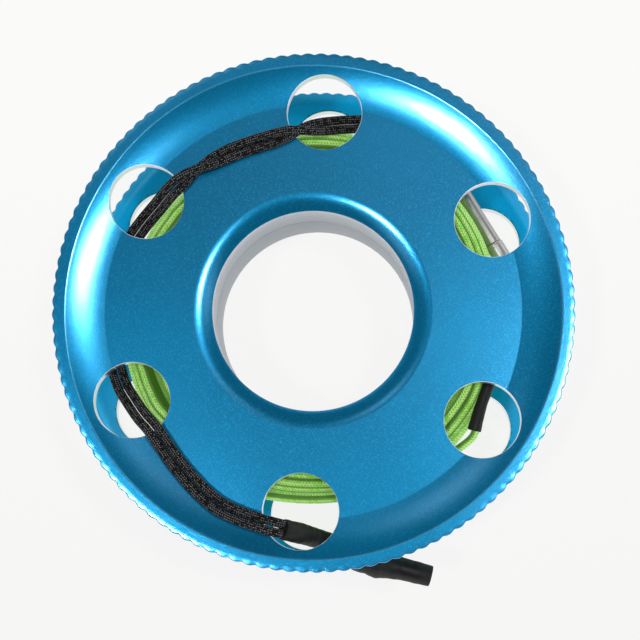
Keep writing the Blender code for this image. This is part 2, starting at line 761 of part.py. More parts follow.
def swivel_place(distance, outward):
    """Stands a turned piece on the swivel's axis, with its +Z outward along it."""
    turn = (swivel_direction() * outward).to_track_quat("Z", "Y").to_matrix().to_4x4()
    return Matrix.Translation(swivel_point(distance)) @ turn


def stud_outline(collar_length):
    """A stud whose head is caught inside the barrel, from z = 0 at the barrel's end face."""
    head_radius = STUD_HEAD_DIAMETER / 2
    shank_radius = STUD_SHANK_DIAMETER / 2
    neck_radius = NECK_DIAMETER / 2
    head_top = -BARREL_END_THICKNESS - SEAT_GAP
    neck_start = SEAT_GAP + collar_length
    neck_top = neck_start + NECK_LENGTH + NECK_OVERLAP
    outline = [(0, neck_top), (neck_radius, neck_top)]
    if collar_length:
        collar_radius = COLLAR_DIAMETER / 2
        centre = (collar_radius - COLLAR_ROUND, neck_start - COLLAR_ROUND)
        outline.append((neck_radius, neck_start))
        outline.extend(arc(centre, COLLAR_ROUND, pi / 2, 0, COLLAR_ROUND_STEPS))
        outline.append((collar_radius, SEAT_GAP))
    else:
        outline.append((neck_radius, SEAT_GAP))
    return [
        *outline,
        (shank_radius, SEAT_GAP),
        (shank_radius, head_top),
        (head_radius, head_top),
        (head_radius, head_top - STUD_HEAD_LENGTH),
        (0, head_top - STUD_HEAD_LENGTH),
    ]


def make_swivel(parts, cutters):
    """A tapered barrel that turns freely on the heads of two studs with eyes."""
    steel = make_material("satin_steel_barrel", (0.62, 0.63, 0.64), 0.3, 1.0)
    bore_radius = BARREL_BORE_DIAMETER / 2
    mouth_radius = BARREL_MOUTH_DIAMETER / 2
    barrel = [
        (mouth_radius, 0),
        (BARREL_WIDE_DIAMETER / 2, 0),
        (BARREL_NARROW_DIAMETER / 2, -BARREL_LENGTH),
        (mouth_radius, -BARREL_LENGTH),
        (mouth_radius, BARREL_END_THICKNESS - BARREL_LENGTH),
        (bore_radius, BARREL_END_THICKNESS - BARREL_LENGTH),
        (bore_radius, -BARREL_END_THICKNESS),
        (mouth_radius, -BARREL_END_THICKNESS),
    ]
    item = turned("swivel_barrel", barrel, STUD_STEPS, parts, steel)
    item.matrix_world = swivel_place(BARREL_FRONT_DISTANCE, 1)
    line_place = swivel_place(BARREL_FRONT_DISTANCE, 1)
    cord_place = swivel_place(BARREL_BACK_DISTANCE, -1)
    make_stud("swivel_line_eye", COLLAR_LENGTH, LINE_EYE_REACH, line_place, parts, cutters)
    make_stud("swivel_cord_eye", 0, CORD_EYE_REACH, cord_place, parts, cutters)


def make_stud(name, collar_length, reach, place, parts, cutters):
    material = make_material(name + "_steel", (0.6, 0.61, 0.62), 0.3, 1.0)
    stud = turned(name, stud_outline(collar_length), STUD_STEPS, parts, material)
    stud.matrix_world = place
    ring_profile = arc((EYE_DIAMETER / 2, 0), EYE_WIRE_DIAMETER / 2, 0, -tau, EYE_WIRE_STEPS)[:-1]
    ring = as_cutter(turned(name + "_ring", ring_profile, EYE_STEPS, cutters, material))
    level = place.to_3x3().inverted() @ Vector((0, 0, 1))
    across = level.cross(Vector((0, 0, 1)))
    stand = across.to_track_quat("Z", "Y").to_matrix().to_4x4()
    half_step = Matrix.Rotation(pi / EYE_STEPS, 4, "Z")
    ring.matrix_world = place @ Matrix.Translation((0, 0, reach)) @ stand @ half_step
    boolean(stud, ring, "UNION")


def make_cord(parts, cutters):
    """The elastic cord doubled through the swivel's eye, with its knot in a sleeve."""
    elastic = make_material("black_elastic_cord", (0.03, 0.03, 0.035), 0.85, 0.0)
    middle = [drawn(row) for row in CORD_ROUTE]
    eye = swivel_point(BARREL_BACK_DISTANCE - CORD_EYE_REACH)
    points = eye_loop(middle, eye, CORD_SPACING, CORD_DIAMETER)
    tube("bungee_cord", points, CORD_RADIUS, TUBE_BEVEL_STEPS, parts, elastic)
    length = sum((end - start).length for start, end in zip(points, points[1:]))
    print("elastic cord: length in millimetres", round(length * 1000, 1))
    shrunk = make_material("black_cord_sleeve", (0.015, 0.015, 0.015), 0.55, 0.0)
    points, radii = tapered_route(CORD_SLEEVE_ROUTE)
    sleeve = tube("bungee_sleeve", points, CORD_RADIUS, TUBE_BEVEL_STEPS, parts, shrunk, radii)
    run = (points[-1] - points[-2]).normalized() * CUT_OVERRUN
    bore_points = [*points[SLEEVE_BORE_START:], points[-1] + run]
    bore_radii = [radius - SLEEVE_WALL for radius in [*radii[SLEEVE_BORE_START:], radii[-1]]]
    bore = tube("sleeve_bore", bore_points, CORD_RADIUS, TUBE_BEVEL_STEPS, cutters, shrunk, bore_radii)
    boolean(solid_from_curve(sleeve), as_cutter(solid_from_curve(bore)), "DIFFERENCE")
    start, end = (points[index] for index in KNOT_SPAN)
    place = Matrix.Translation((start + end) / 2)
    place = place @ (end - start).to_track_quat("Z", "Y").to_matrix().to_4x4()
    stretch = Matrix.Diagonal((1, 1, KNOT_LENGTH / KNOT_DIAMETER, 1))
    knot_material = make_material("black_elastic_knot", (0.03, 0.03, 0.035), 0.85, 0.0)
    ball("bungee_knot", KNOT_DIAMETER, place @ stretch, parts, knot_material)


def main():
    clear_scene()
    parts = make_collection("dive_spool")
    cutters = make_collection("cutters")
    make_flanges(parts, cutters)
    make_hub(parts)
    make_winding(parts, cutters)
    make_line_end(parts)
    make_swivel(parts, cutters)
    make_cord(parts, cutters)


main()
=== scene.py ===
"""Looks of the dive spool: flanges, hub, wound line, swivel and elastic cord, with a stage.

Metres, +Z up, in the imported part's frame. The spool lies on its rear flange.
"""

from math import atan, atan2, cos, hypot, pi, radians, sin, sqrt, tau

import bmesh
import bpy
from bpy.props import FloatProperty, FloatVectorProperty, IntProperty, PointerProperty
from mathutils import Matrix, Vector


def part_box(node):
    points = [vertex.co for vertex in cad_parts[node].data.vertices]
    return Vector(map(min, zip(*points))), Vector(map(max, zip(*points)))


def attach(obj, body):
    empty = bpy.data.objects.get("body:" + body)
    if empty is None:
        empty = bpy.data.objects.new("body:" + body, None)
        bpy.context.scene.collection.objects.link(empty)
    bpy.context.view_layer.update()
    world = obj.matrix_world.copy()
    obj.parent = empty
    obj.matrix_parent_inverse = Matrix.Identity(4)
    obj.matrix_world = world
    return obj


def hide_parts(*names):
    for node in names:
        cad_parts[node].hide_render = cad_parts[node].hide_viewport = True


bl_info = {
    "name": "Dive spool looks",
    "version": (1, 0, 0),
    "blender": (4, 5, 0),
    "location": "3D View > Sidebar > Dive spool",
    "description": "Builds the visible pieces of a finger spool for diving line",
    "category": "Object",
}

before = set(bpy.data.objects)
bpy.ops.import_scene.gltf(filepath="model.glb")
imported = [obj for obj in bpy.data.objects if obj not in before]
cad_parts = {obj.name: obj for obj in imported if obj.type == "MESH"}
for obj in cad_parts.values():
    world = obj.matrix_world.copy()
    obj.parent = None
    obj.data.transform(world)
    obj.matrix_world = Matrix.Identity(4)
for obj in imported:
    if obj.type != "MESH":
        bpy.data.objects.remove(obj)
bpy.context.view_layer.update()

# Sizes that the CAD fixes
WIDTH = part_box("front_flange")[1].z
FLANGE_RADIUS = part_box("front_flange")[1].x
MID_HEIGHT = WIDTH / 2
WEB_THICKNESS = 0.003
WEB_RECESS = 0.00175
RIM_RING_WIDTH = 0.0026
COVE_WIDTH = 0.0079
COVE_START_SLOPE = radians(6)
HOLE_RADIUS = 0.00762
HOLE_PITCH_RADIUS = 0.0405
HOLE_TURN = radians(26.87)
HOLE_COUNT = 6
KNURL_TURN = radians(26.8)
LIP_RADIUS = 0.02035
LIP_WIDTH = 0.00375
LIP_DROP = 0.0012
LIP_CROWN_RADIUS = 0.008
LIP_EDGE_THICKNESS = 0.0006
HUB_BORE_RADIUS = 0.02055
HUB_BARREL_RADIUS = 0.0248
HUB_NOSE_RADIUS = 0.0232
RETAINER_RADIUS = 0.0224
RETAINER_HEAD_RADIUS = 0.025
RETAINER_HEAD_THICKNESS = 0.0016
MOUTH_DEPTH = 0.0046
MOUTH_WIDTH = 0.00405
BORE_SEAM_DEPTH = 0.0164
SEAT_GAP = 0.0003
PACK_LINE_RADIUS = 0.0366
PACK_HALF_WIDTH = 0.01215
SHOULDER_WIDTH = 0.006
SHOULDER_DROP = 0.004
REAR_SHOULDER_TURN = radians(35)
WINDING_START_ANGLE = radians(180)
LINE_BEND_RADIUS = 0.0018
ANCHOR_KNOT_ANGLE = radians(100)
ANCHOR_KNOT_RADIUS = 0.0268
SWIVEL_AXIS_RADIUS = 0.0403
SWIVEL_TURN = radians(30.54)
BARREL_FRONT_DISTANCE = 0.00495
BARREL_LENGTH = 0.018
BARREL_BACK_DISTANCE = BARREL_FRONT_DISTANCE - BARREL_LENGTH
COLLAR_LENGTH = 0.0044
COLLAR_RADIUS = 0.0019
NECK_RADIUS = 0.0008
NECK_LENGTH = 0.0012
EYE_RADIUS = 0.0022
EYE_WIRE_RADIUS = 0.0006
LINE_EYE_REACH = SEAT_GAP + COLLAR_LENGTH + NECK_LENGTH + EYE_RADIUS
CORD_EYE_REACH = SEAT_GAP + NECK_LENGTH + EYE_RADIUS
EYE_LOOP_RADIUS = 0.0019
CORD_SPACING = 0.00195
CORD_BORE_DEPTH = 0.0045

# Sizes that follow from those
LIP_DEPTH = WEB_RECESS + LIP_DROP
SEAT_DEPTH = LIP_DEPTH + LIP_EDGE_THICKNESS
INNER_FACE_DEPTH = WEB_RECESS + WEB_THICKNESS
RING_RADIUS = FLANGE_RADIUS - RIM_RING_WIDTH
COVE_RADIUS = RING_RADIUS - COVE_WIDTH

# Finish of the meshes
FLANGE_STEPS = 960
HUB_STEPS = 192
STUD_STEPS = 64
SLEEVE_STEPS = 40
COVE_STEPS = 24
LIP_STEPS = 18
SHOULDER_STEPS = 24
HOLE_STEPS = 96
DRILL_REACH = (0.002, -0.008)
DRILL_OVERRUN = 0.00004
WINDING_STEPS = 240
EDGE_ROUND = 0.00025
RING_EDGE_ROUND = 0.00015
RING_ROW = 0.0014
HEAD_BREAK = 0.00015
KNURL_REACH = 0.0009
CREASE_ROW = 0.00004
SHARP_ANGLE = radians(32)
TINY = 1e-6
TIP_SHARE = 0.0005

LINE_STEP = 0.001
LOOP_STEP = 0.0004
CORD_STEP = 0.00021

# The wound line: its unevenness, its start under the outer layer, and its fuller front half
WANDER = 0.00009
WAVE = 0.00007
BURIED_INSETS = (0.0016, 0.0008, 0.0)
BULGE_START = 0.0165
BULGE_REACH = 0.004
# The inner layers, how deep they lie in radii of the line, and their rows at the rear shoulder
INNER_DEPTH = 1.9
INNER_RIDGES = 6
RIDGE_DEPTH = 0.00055
# Painted shade on the inner layers' body
INNER_TURN_SHADE = 0.35
BRAID_PITCHES = (0.0021, 0.0016)
UNDER_ROWS = 4
UNDER_START = radians(24)
UNDER_TURN = 0.6
# Knots: thickness of the strand, and scale
LINE_KNOT = (0.0011, 0.00038)
CORD_KNOT = (0.0013, 0.00042)
CROSSING_LIFT = 0.0004

# Looks that more than one piece shares
Z_AXIS = (0, 0, 1)
GREEN_BRAID = {"Columns": 8.0, "Stitches": 2.6}
ELASTIC_BRAID = {"Columns": 12.0, "Stitches": 4.0}
# Painted light on the inner faces between the flanges; pale blue of the worn edges and of the
# painted highlight on the flat ring's edge
PAINTED_LIGHT_INNER_BLUE = (0.002, 0.5, 1.0)
WORN_AND_HIGHLIT_BLUE = (0.3, 0.66, 0.85)

# The camera of the photo: pixels across, focal length in pixels, tilts and place
PICTURE_PIXELS = 640
FOCAL_PIXELS = 1833
SENSOR_WIDTH = 36
CAMERA_TILT_X = radians(-6.95)
CAMERA_TILT_Y = radians(-2.07)
CAMERA_PLACE = (0.00154, -0.00231)

# Lamps: name, x and y of the direction, and width and height
LAMP_DISTANCE = 2
LAMPS = (
    ("lower_left_lamp", -0.235, -0.13, (0.15, 0.18)), ("right_lamp", 0.265, 0.05, (0.12, 0.3)),
)
# The room overhead, and its soft bright patches: x and y of the direction, reach and brightness
OVERHEAD_LIGHT = 0.035
LOW_LIGHT = 1.9
ROOM_PATCHES = (
    ((0.03, 0.17), 0.22, 0.32), ((-0.21, 0.34), 0.14, 1.3), ((0.16, 0.31), 0.13, 0.85),
    ((0.62, 0.03), 0.34, 0.8), ((-0.5, -0.24), 0.3, 0.7),
)
# The floor's half width, its drop below the rim, the painted shade on its near side, and how bright
# it looks
FLOOR_HALF = 2.5
FLOOR_DROP = 0.00003
FLOOR_SHADE = 0.96
FLOOR_GLOW = 1.03
FLOOR_GLOW_SHARE = 0.88


def metres(*rows, plain=0):
    """Rows of millimetres in metres. The first few numbers of each row may be left as they are."""
    return tuple((*row[:plain], *(value / 1000 for value in row[plain:])) for row in rows)


# Elastic cord, as x, y and z of the middle line between its two strands
CORD_ROUTE = metres(
    (-5.8, -43.9, 35.8), (-7.8, -43.4, 36.6), (-10.3, -42.7, 36.4), (-14.8, -41.1, 36.1),
    (-18.8, -39.1, 36.0), (-23.0, -35.4, 35.8), (-26.8, -31.1, 35.7), (-29.5, -27.4, 35.7),
    (-31.9, -24.0, 35.8), (-34.2, -21.5, 34.5), (-36.5, -18.5, 32.2), (-38.8, -15.0, 30.4),
    (-40.3, -10.5, 29.5), (-41.2, -4.0, 29.0), (-41.3, 3.0, 28.8), (-40.2, 9.5, 29.0),
    (-38.0, 14.0, 29.5), (-35.2, 17.8, 30.7), (-31.8, 21.3, 32.8), (-29.0, 24.0, 35.1),
    (-26.6, 26.0, 35.8), (-23.5, 28.3, 35.7), (-20.0, 30.3, 35.7), (-16.0, 32.2, 35.7),
    (-12.0, 33.6, 35.7), (-8.0, 34.8, 35.7), (-4.2, 35.9, 36.0), (-1.0, 36.9, 35.0),
    (2.2, 37.9, 32.8), (6.0, 38.7, 30.8), (10.0, 39.2, 29.4), (15.0, 40.3, 27.0),
    (20.0, 40.8, 23.8), (23.3, 39.7, 20.4),
)
# Places along that route where the two strands cross over each other, and over how many points
CORD_CROSSINGS = ((20.9, 4.4), (26.2, 4.2))

# Sleeves, as x, y, z and radius
CORD_SLEEVE_ROUTE = metres(
    (-5.4, -44.0, 35.0, 2.1), (-3.8, -44.4, 33.9, 2.1), (-2.0, -44.8, 32.2, 2.1),
    (-0.4, -45.3, 30.6, 2.0), (1.2, -45.8, 29.5, 2.0), (3.2, -46.6, 28.9, 2.1),
    (5.2, -47.4, 28.7, 2.3), (7.5, -48.3, 28.5, 2.8), (9.5, -49.1, 28.4, 3.2),
    (11.5, -49.8, 28.4, 3.1), (13.5, -50.5, 28.4, 3.2), (15.5, -51.1, 28.3, 2.6),
    (18.0, -51.7, 28.1, 2.3), (20.8, -52.4, 27.9, 2.2), (23.6, -53.1, 27.7, 2.1),
)
KNOT_ENDS = (8, 10)
LINE_SLEEVE_ROUTE = metres(
    (32.6, -23.7, 28.8, 1.4), (33.2, -21.4, 28.9, 1.3), (34.0, -18.7, 28.9, 1.2),
    (35.0, -16.0, 28.8, 1.2), (36.0, -13.3, 28.7, 1.3), (37.1, -10.7, 28.5, 1.9),
    (38.0, -8.6, 28.1, 1.9),
)

# Line between its sleeve and the swivel, and its tail as angle, radius and height
LOOP_ROUTE = metres(
    (38.2, -8.2, 28.0), (39.3, -6.0, 27.5), (41.2, -3.1, 26.3), (43.2, -0.2, 24.0),
    (44.1, 3.0, 21.2),
)
TAIL_ROUTE = metres(
    (-170, 38.1, 8.1), (-160, 39.1, 9.0), (-149, 39.1, 12.2), (-138, 39.05, 17.2),
    (-125, 38.95, 22.5), (-110, 38.5, 26.2), (-95, 38.0, 28.0), (-80, 38.0, 28.4),
    (-65, 38.4, 28.7), (-54, 39.1, 28.7), (-46, 39.9, 28.7), plain=1,
)
# How much fuller the hand-wound line lies than an even pack: angle, over its whole width, and
# in its front half besides
FULLNESS = metres(
    (-205, 0.9, 0.1), (-190, 0.9, 0.5), (-178, 0.9, 1.5), (-150, 0.9, 1.7), (-141, 0.8, 1.0),
    (-134, 0.7, 0.0), (-110, 0.4, 0.0), (-90, 0.2, 0.0), (-70, 0.4, 0.0), (-58, 1.1, 0.0),
    (-45, 1.8, 0.0), (-30, 1.8, 0.0), (-12, 1.0, 0.0), (0, 0.6, 0.0), (30, 0.9, 0.0),
    (60, 1.0, 0.0), (78, 1.4, 0.0), (90, 1.3, 0.0), (110, 0.8, 0.0), (136, 0.2, 0.0),
    (145, 0.8, 0.0), (156, 1.2, 0.0), (170, 1.1, 0.3), (182, 0.9, 1.0), plain=1,
)


def length_property(name, description, default):
    return FloatProperty(
        name=name, description=description, default=default, unit="LENGTH", precision=5
    )


def colour_property(name, description, *default):
    return FloatVectorProperty(
        name=name, description=description, default=default, subtype="COLOR", min=0, max=1
    )


class SpoolSizes(bpy.types.PropertyGroup):
    """Sizes of the visible detail"""

    knurl_count: IntProperty(
        name="Knurls", description="Bumps round the rim of each flange", default=120, min=12
    )
    knurl_depth: length_property(
        "Knurl depth", "How deep the notches between the bumps are", 0.0004
    )
    hole_chamfer: length_property(
        "Hole chamfer", "Width of the broken edge round each flange hole", 0.00007
    )
    line_diameter: length_property("Line", "Thickness of the wound line", 0.0016)
    line_turns: IntProperty(
        name="Turns", description="Turns in the outer layer of line", default=15, min=4
    )
    cord_diameter: length_property(
        "Elastic cord", "Thickness of one strand of the elastic cord", 0.0019
    )
    cord_relief: length_property("Braid relief", "Height of the elastic cord's braid", 0.00008)
    sleeve_wall: length_property("Sleeve wall", "Thickness of the shrunk sleeves", 0.0006)


class SpoolColours(bpy.types.PropertyGroup):
    """Colours of the finishes"""

    anodised: colour_property(
        "Anodised blue", "Blasted and anodised aluminium of the flanges", 0.001, 0.335, 0.68
    )
    bare_metal: colour_property(
        "Cut metal", "Bare aluminium in the drilled holes", 0.88, 0.94, 1.0
    )
    acetal: colour_property("White acetal", "Turned plastic of the hub", 0.80, 0.84, 0.88)
    line: colour_property("Line", "Braided green line", 0.27, 0.76, 0.07)
    # Painted highlight on the crowns of the line's light yarns
    line_crown_highlight: colour_property(
        "Line, painted crown highlight", "Yarns of the line that catch the light", 0.86, 1.0, 0.46
    )
    elastic: colour_property("Elastic cord", "Cover of the elastic cord", 0.004, 0.004, 0.0045)
    # Painted highlight on the crowns of the cord's light yarns
    elastic_crown_highlight: colour_property(
        "Elastic cord, painted crown highlight", "Yarns of the cord that catch the light", 0.34, 0.34, 0.35
    )
    sleeve: colour_property("Sleeves", "Shrunk black sleeves", 0.009, 0.009, 0.0095)
    steel: colour_property("Steel", "Turned steel of the swivel", 0.42, 0.39, 0.38)


class StageSettings(bpy.types.PropertyGroup):
    """Floor, lamps and camera"""

    floor: colour_property("Floor", "Pale floor under the spool", 0.97, 0.97, 0.96)
    lamp_power: FloatProperty(
        name="Lamps", description="Power of each of the two lamps", default=7.8, subtype="POWER"
    )
    room: FloatProperty(
        name="Room light", description="Brightness of the room round the spool", default=1.0
    )
    camera_distance: length_property(
        "Camera distance", "From the camera to the front rim", 0.367
    )


# Node trees


def feed(tree, node, inputs):
    """Give a node's inputs their values, or links from Wires."""
    for name, value in inputs.items():
        socket = node.inputs[name]
        if isinstance(value, Wire):
            tree.links.new(value.socket, socket)
        elif socket.type == "RGBA":
            socket.default_value = (*value, 1)
        else:
            socket.default_value = value


def put(tree, kind, inputs=None, out=0, **settings):
    """An output of a new node, or all of them where out is None."""
    node = tree.nodes.new(kind)
    for name, value in settings.items():
        setattr(node, name, value)
    feed(tree, node, inputs or {})
    wires = Wires(tree, node.outputs)
    return wires if out is None else wires[out]


class Wires:
    """A node's outputs by name or number, each as a Wire."""

    def __init__(self, tree, outputs):
        self.tree = tree
        self.outputs = outputs

    def __getitem__(self, name):
        return Wire(self.tree, self.outputs[name])


class Wire:
    """A node's output, with which sums can be written. Each step of a sum is a Math node."""

    def __init__(self, tree, socket):
        self.tree = tree
        self.socket = socket

    def maths(self, operation, *others):
        values = dict(enumerate((self, *others)))
        return put(self.tree, "ShaderNodeMath", values, operation=operation)

    def ranged(self, low, high, start=0.0, end=1.0):
        """The value between two limits, spread smoothly over a new range."""
        inputs = {"Value": self, "From Min": low, "From Max": high, "To Min": start, "To Max": end}
        return put(self.tree, "ShaderNodeMapRange", inputs, interpolation_type="SMOOTHSTEP")

    def vector(self, operation, other, out=0):
        """A Vector Math node on this output and another vector."""
        inputs = {0: self, 1: other}
        return put(self.tree, "ShaderNodeVectorMath", inputs, out, operation=operation)

    def parts(self):
        """The x, y and z of a vector."""
        wires = put(self.tree, "ShaderNodeSeparateXYZ", {0: self}, out=None)
        return wires[0], wires[1], wires[2]

    def __add__(self, other):
        return self.maths("ADD", other)

    def __sub__(self, other):
        return self.maths("SUBTRACT", other)

    def __mul__(self, other):
        return self.maths("MULTIPLY", other)

    def __truediv__(self, other):
        return self.maths("DIVIDE", other)

    def __rsub__(self, other):
        return put(self.tree, "ShaderNodeMath", {0: other, 1: self}, operation="SUBTRACT")

    def __rtruediv__(self, other):
        return put(self.tree, "ShaderNodeMath", {0: other, 1: self}, operation="DIVIDE")


def blended(share, first, second):
    """A colour that goes from the first to the second as the share goes from 0 to 1."""
    inputs = {"Factor": share, 6: first, 7: second}
    return put(share.tree, "ShaderNodeMix", inputs, out=2, data_type="RGBA")


def combined(tree, *values):
    """A vector of up to three values."""
    return put(tree, "ShaderNodeCombineXYZ", dict(enumerate(values)))


def new_group(name, kind, inputs, outputs):
    """A node group with named sockets, its given values and the node for its results."""
    tree = bpy.data.node_groups.new(name, kind)
    for socket_name, socket_type, *default in inputs:
        socket = tree.interface.new_socket(
            socket_name, in_out="INPUT", socket_type="NodeSocket" + socket_type
        )
        if default:
            socket.default_value = default[0]
    for socket_name, socket_type in outputs:
        tree.interface.new_socket(
            socket_name, in_out="OUTPUT", socket_type="NodeSocket" + socket_type
        )
    given = Wires(tree, tree.nodes.new("NodeGroupInput").outputs)
    return tree, given, tree.nodes.new("NodeGroupOutput")


def braid_height(around, along, columns, stitches):
    """Height of a braid's yarns, from 0 in the gaps to 1 on their crowns, and a number for each.

    The yarns slant one way in the even columns and the other way in the odd ones, as V stitches."""
    place = around * columns
    column = place.maths("FLOOR")
    across = place.maths("FRACT")
    way = column.maths("FLOORED_MODULO", 2.0).maths("MULTIPLY_ADD", 2.0, -1.0)
    stitch = along * stitches + (across - 0.5) * way
    arches = []
    for share in (stitch.maths("FRACT"), across):
        centred = share.maths("MULTIPLY_ADD", 2.0, -1.0)
        arches.append(1.0 - centred * centred)
    height = arches[0].maths("POWER", 0.6) * arches[1].maths("POWER", 0.35)
    return height, column.maths("MULTIPLY_ADD", 31.7, stitch.maths("FLOOR"))


def braid_group():
    """Shader group: a braid on a cord's own UV map, with loose light yarns whose crowns carry a
    painted highlight.
    """
    tree, given, result = new_group(
        "braided_cover", "ShaderNodeTree",
        (
            ("Columns", "Float", 4.0), ("Stitches", "Float", 2.0), ("Light yarns", "Float", 0.5),
            ("Crown", "Float", 0.45),
        ),
        (("Height", "Float"), ("Tone", "Float")),
    )
    place = put(tree, "ShaderNodeUVMap", uv_map="braid")
    around, along, _ = place.parts()
    height, number = braid_height(around, along, given["Columns"], given["Stitches"])
    stretched = place.vector("MULTIPLY", (40.0, 6.0, 1.0))
    fray = put(tree, "ShaderNodeTexNoise", {"Vector": stretched, "Scale": 1.0, "Detail": 2.0})
    fray = fray.ranged(0.35, 0.7)
    pick = put(tree, "ShaderNodeTexWhiteNoise", {"W": number}, noise_dimensions="1D")
    chosen = pick.maths("LESS_THAN", given["Light yarns"])
    # Painted highlight: the light colour goes only on the crowns of the chosen yarns
    tone = height.ranged(given["Crown"], 0.97) * chosen.maths("MULTIPLY_ADD", 0.85, 0.15)
    feed(tree, result, {
        "Height": fray.maths("MULTIPLY_ADD", 0.12, height),
        "Tone": tone * fray.maths("MULTIPLY_ADD", 0.8, 0.2),
    })
    return tree


def grain_group():
    """Shader group: the fine grain that blasting leaves, and slow drifts of tone."""
    tree, given, result = new_group(
        "blasted_grain", "ShaderNodeTree",
        (("Grain size", "Float", 0.0002), ("Drift size", "Float", 0.02)),
        (("Height", "Float"), ("Sparkle", "Float"), ("Drift", "Float")),
    )
    place = put(tree, "ShaderNodeTexCoord", out="Object")
    fine = {"Vector": place, "Scale": 1.0 / given["Grain size"]}
    slow = {"Vector": place, "Scale": 1.0 / given["Drift size"], "Detail": 2.0}
    flakes = put(tree, "ShaderNodeTexVoronoi", fine, out="Color")
    grey = put(tree, "ShaderNodeSeparateColor", {0: flakes})
    feed(tree, result, {
        "Height": put(tree, "ShaderNodeTexNoise", {**fine, "Detail": 3.0, "Roughness": 0.65}),
        "Sparkle": grey.ranged(0.72, 1.0),
        "Drift": put(tree, "ShaderNodeTexNoise", slow).ranged(0.3, 0.7),
    })
    return tree


def turning_group():
    """Shader group: the fine rings that a lathe leaves across an axis."""
    tree, given, result = new_group(
        "lathe_rings", "ShaderNodeTree",
        (("Place", "Vector"), ("Axis", "Vector"), ("Ring spacing", "Float", 0.0003)),
        (("Height", "Float"), ("Streak", "Float")),
    )
    rings = given["Place"].vector("DOT_PRODUCT", given["Axis"], "Value") / given["Ring spacing"]
    noise, broad = (
        put(
            tree, "ShaderNodeTexNoise", {"W": rings, "Scale": scale, "Detail": detail},
            noise_dimensions="1D"
        )
        for scale, detail in ((1.0, 3.0), (0.21, 1.0))
    )
    feed(tree, result, {"Height": noise, "Streak": broad.ranged(0.35, 0.65)})
    return tree


def add_group(tree, name, build, inputs):
    """The outputs of a shader group, which is built the first time that it is asked for."""
    group = bpy.data.node_groups.get(name) or build()
    return put(tree, "ShaderNodeGroup", inputs, out=None, node_tree=group)


def blasted_grain(tree, grain, drift):
    return add_group(
        tree, "blasted_grain", grain_group, {"Grain size": grain, "Drift size": drift}
    )


def lathe_rings(tree, axis, spacing):
    place = put(tree, "ShaderNodeTexCoord", out="Object")
    return add_group(
        tree, "lathe_rings", turning_group, {"Place": place, "Axis": axis, "Ring spacing": spacing}
    )


def bump(height, distance, strength=1.0):
    """The normals of a bumpy surface."""
    inputs = {"Height": height, "Distance": distance, "Strength": strength}
    return put(height.tree, "ShaderNodeBump", inputs)


def attribute(tree, name):
    return put(tree, "ShaderNodeAttribute", out="Fac", attribute_name=name)


def shaded(colour, share):
    return tuple(channel * share for channel in colour)


def new_material(name, roughness, metallic=0.0, specular=0.5):
    """A Principled material, its tree and its shader."""
    material = bpy.data.materials.new(name)
    material.use_nodes = True
    tree = material.node_tree
    shader = tree.nodes["Principled BSDF"]
    feed(tree, shader, {
        "Roughness": roughness, "Metallic": metallic, "Specular IOR Level": specular
    })
    return material, tree, shader


def anodised_material(name, colour):
    """Blasted aluminium under a clear blue anodised layer, paler where its edges are worn.

    A painted highlight runs along the flat ring's edge, and the inner faces between the flanges are
    painted lighter.
    """
    metallic = 0.65
    material, tree, shader = new_material(name, 0.3, metallic, specular=0.0)
    blasted = blasted_grain(tree, 0.00017, 0.03)
    height = blasted["Height"]
    pale = tuple(min(1, channel * 1.35 + 0.01) for channel in colour)
    body = blended(blasted["Drift"], shaded(colour, 0.86), colour)
    body = blended(blasted["Sparkle"] * 0.9, body, pale)
    # Worn edges and a painted highlight on the flat ring's edge, both in pale blue
    rubbed_and_highlit = attribute(tree, "edge_wear_and_highlight") * height.ranged(0.3, 0.65) * 0.22
    inner = attribute(tree, "inner_face")
    # Painted light: the inner faces between the flanges are painted a paler blue, for light that
    # reaches them
    body = blended(inner * 0.5, body, PAINTED_LIGHT_INNER_BLUE)
    gloss = height.ranged(0.25, 0.75, 0.17, 0.24)
    normal = bump(height, 0.00003, 0.3)
    feed(tree, shader, {
        "Base Color": blended(rubbed_and_highlit, body, WORN_AND_HIGHLIT_BLUE),
        "Roughness": inner.maths("MULTIPLY_ADD", 0.1, gloss),
        "Metallic": inner.maths("MULTIPLY_ADD", -0.5, metallic),
        "Coat Weight": 1.0, "Coat IOR": 1.62, "Coat Roughness": 0.13,
        "Normal": normal, "Coat Normal": normal,
    })
    return material


def cut_metal_material(name, colour):
    """Bright aluminium that a drill has cut through the anodised layer."""
    material, tree, shader = new_material(name, 0.3, 0.9)
    rings = lathe_rings(tree, Z_AXIS, 0.00012)
    body = blended(rings["Streak"], shaded(colour, 0.82), colour)
    feed(tree, shader, {"Base Color": body, "Normal": bump(rings["Height"], 0.00001, 0.4)})
    return material


def acetal_material(name, colour):
    """White turned plastic, with lathe rings and a slight sheen."""
    material, tree, shader = new_material(name, 0.42)
    rings = lathe_rings(tree, Z_AXIS, 0.00035)
    grain = blasted_grain(tree, 0.0006, 0.012)
    body = blended(rings["Streak"] * 0.6, colour, shaded(colour, 0.93))
    feed(tree, shader, {
        "Base Color": blended(grain["Drift"] * 0.12, body, shaded(colour, 0.82)),
        "Roughness": grain["Height"].ranged(0.3, 0.7, 0.36, 0.5),
        "Normal": bump(rings["Height"], 0.00002, 0.3),
    })
    return material


def steel_material(name, colour, axis):
    """Satin steel with fine turning marks round its axis."""
    material, tree, shader = new_material(name, 0.36, 0.6)
    rings = lathe_rings(tree, axis, 0.00008)
    feed(tree, shader, {
        "Base Color": blended(rings["Streak"], shaded(colour, 0.9), colour),
        "Roughness": rings["Height"].ranged(0.3, 0.7, 0.32, 0.4),
        "Normal": bump(rings["Height"], 0.000004, 0.3),
    })
    return material


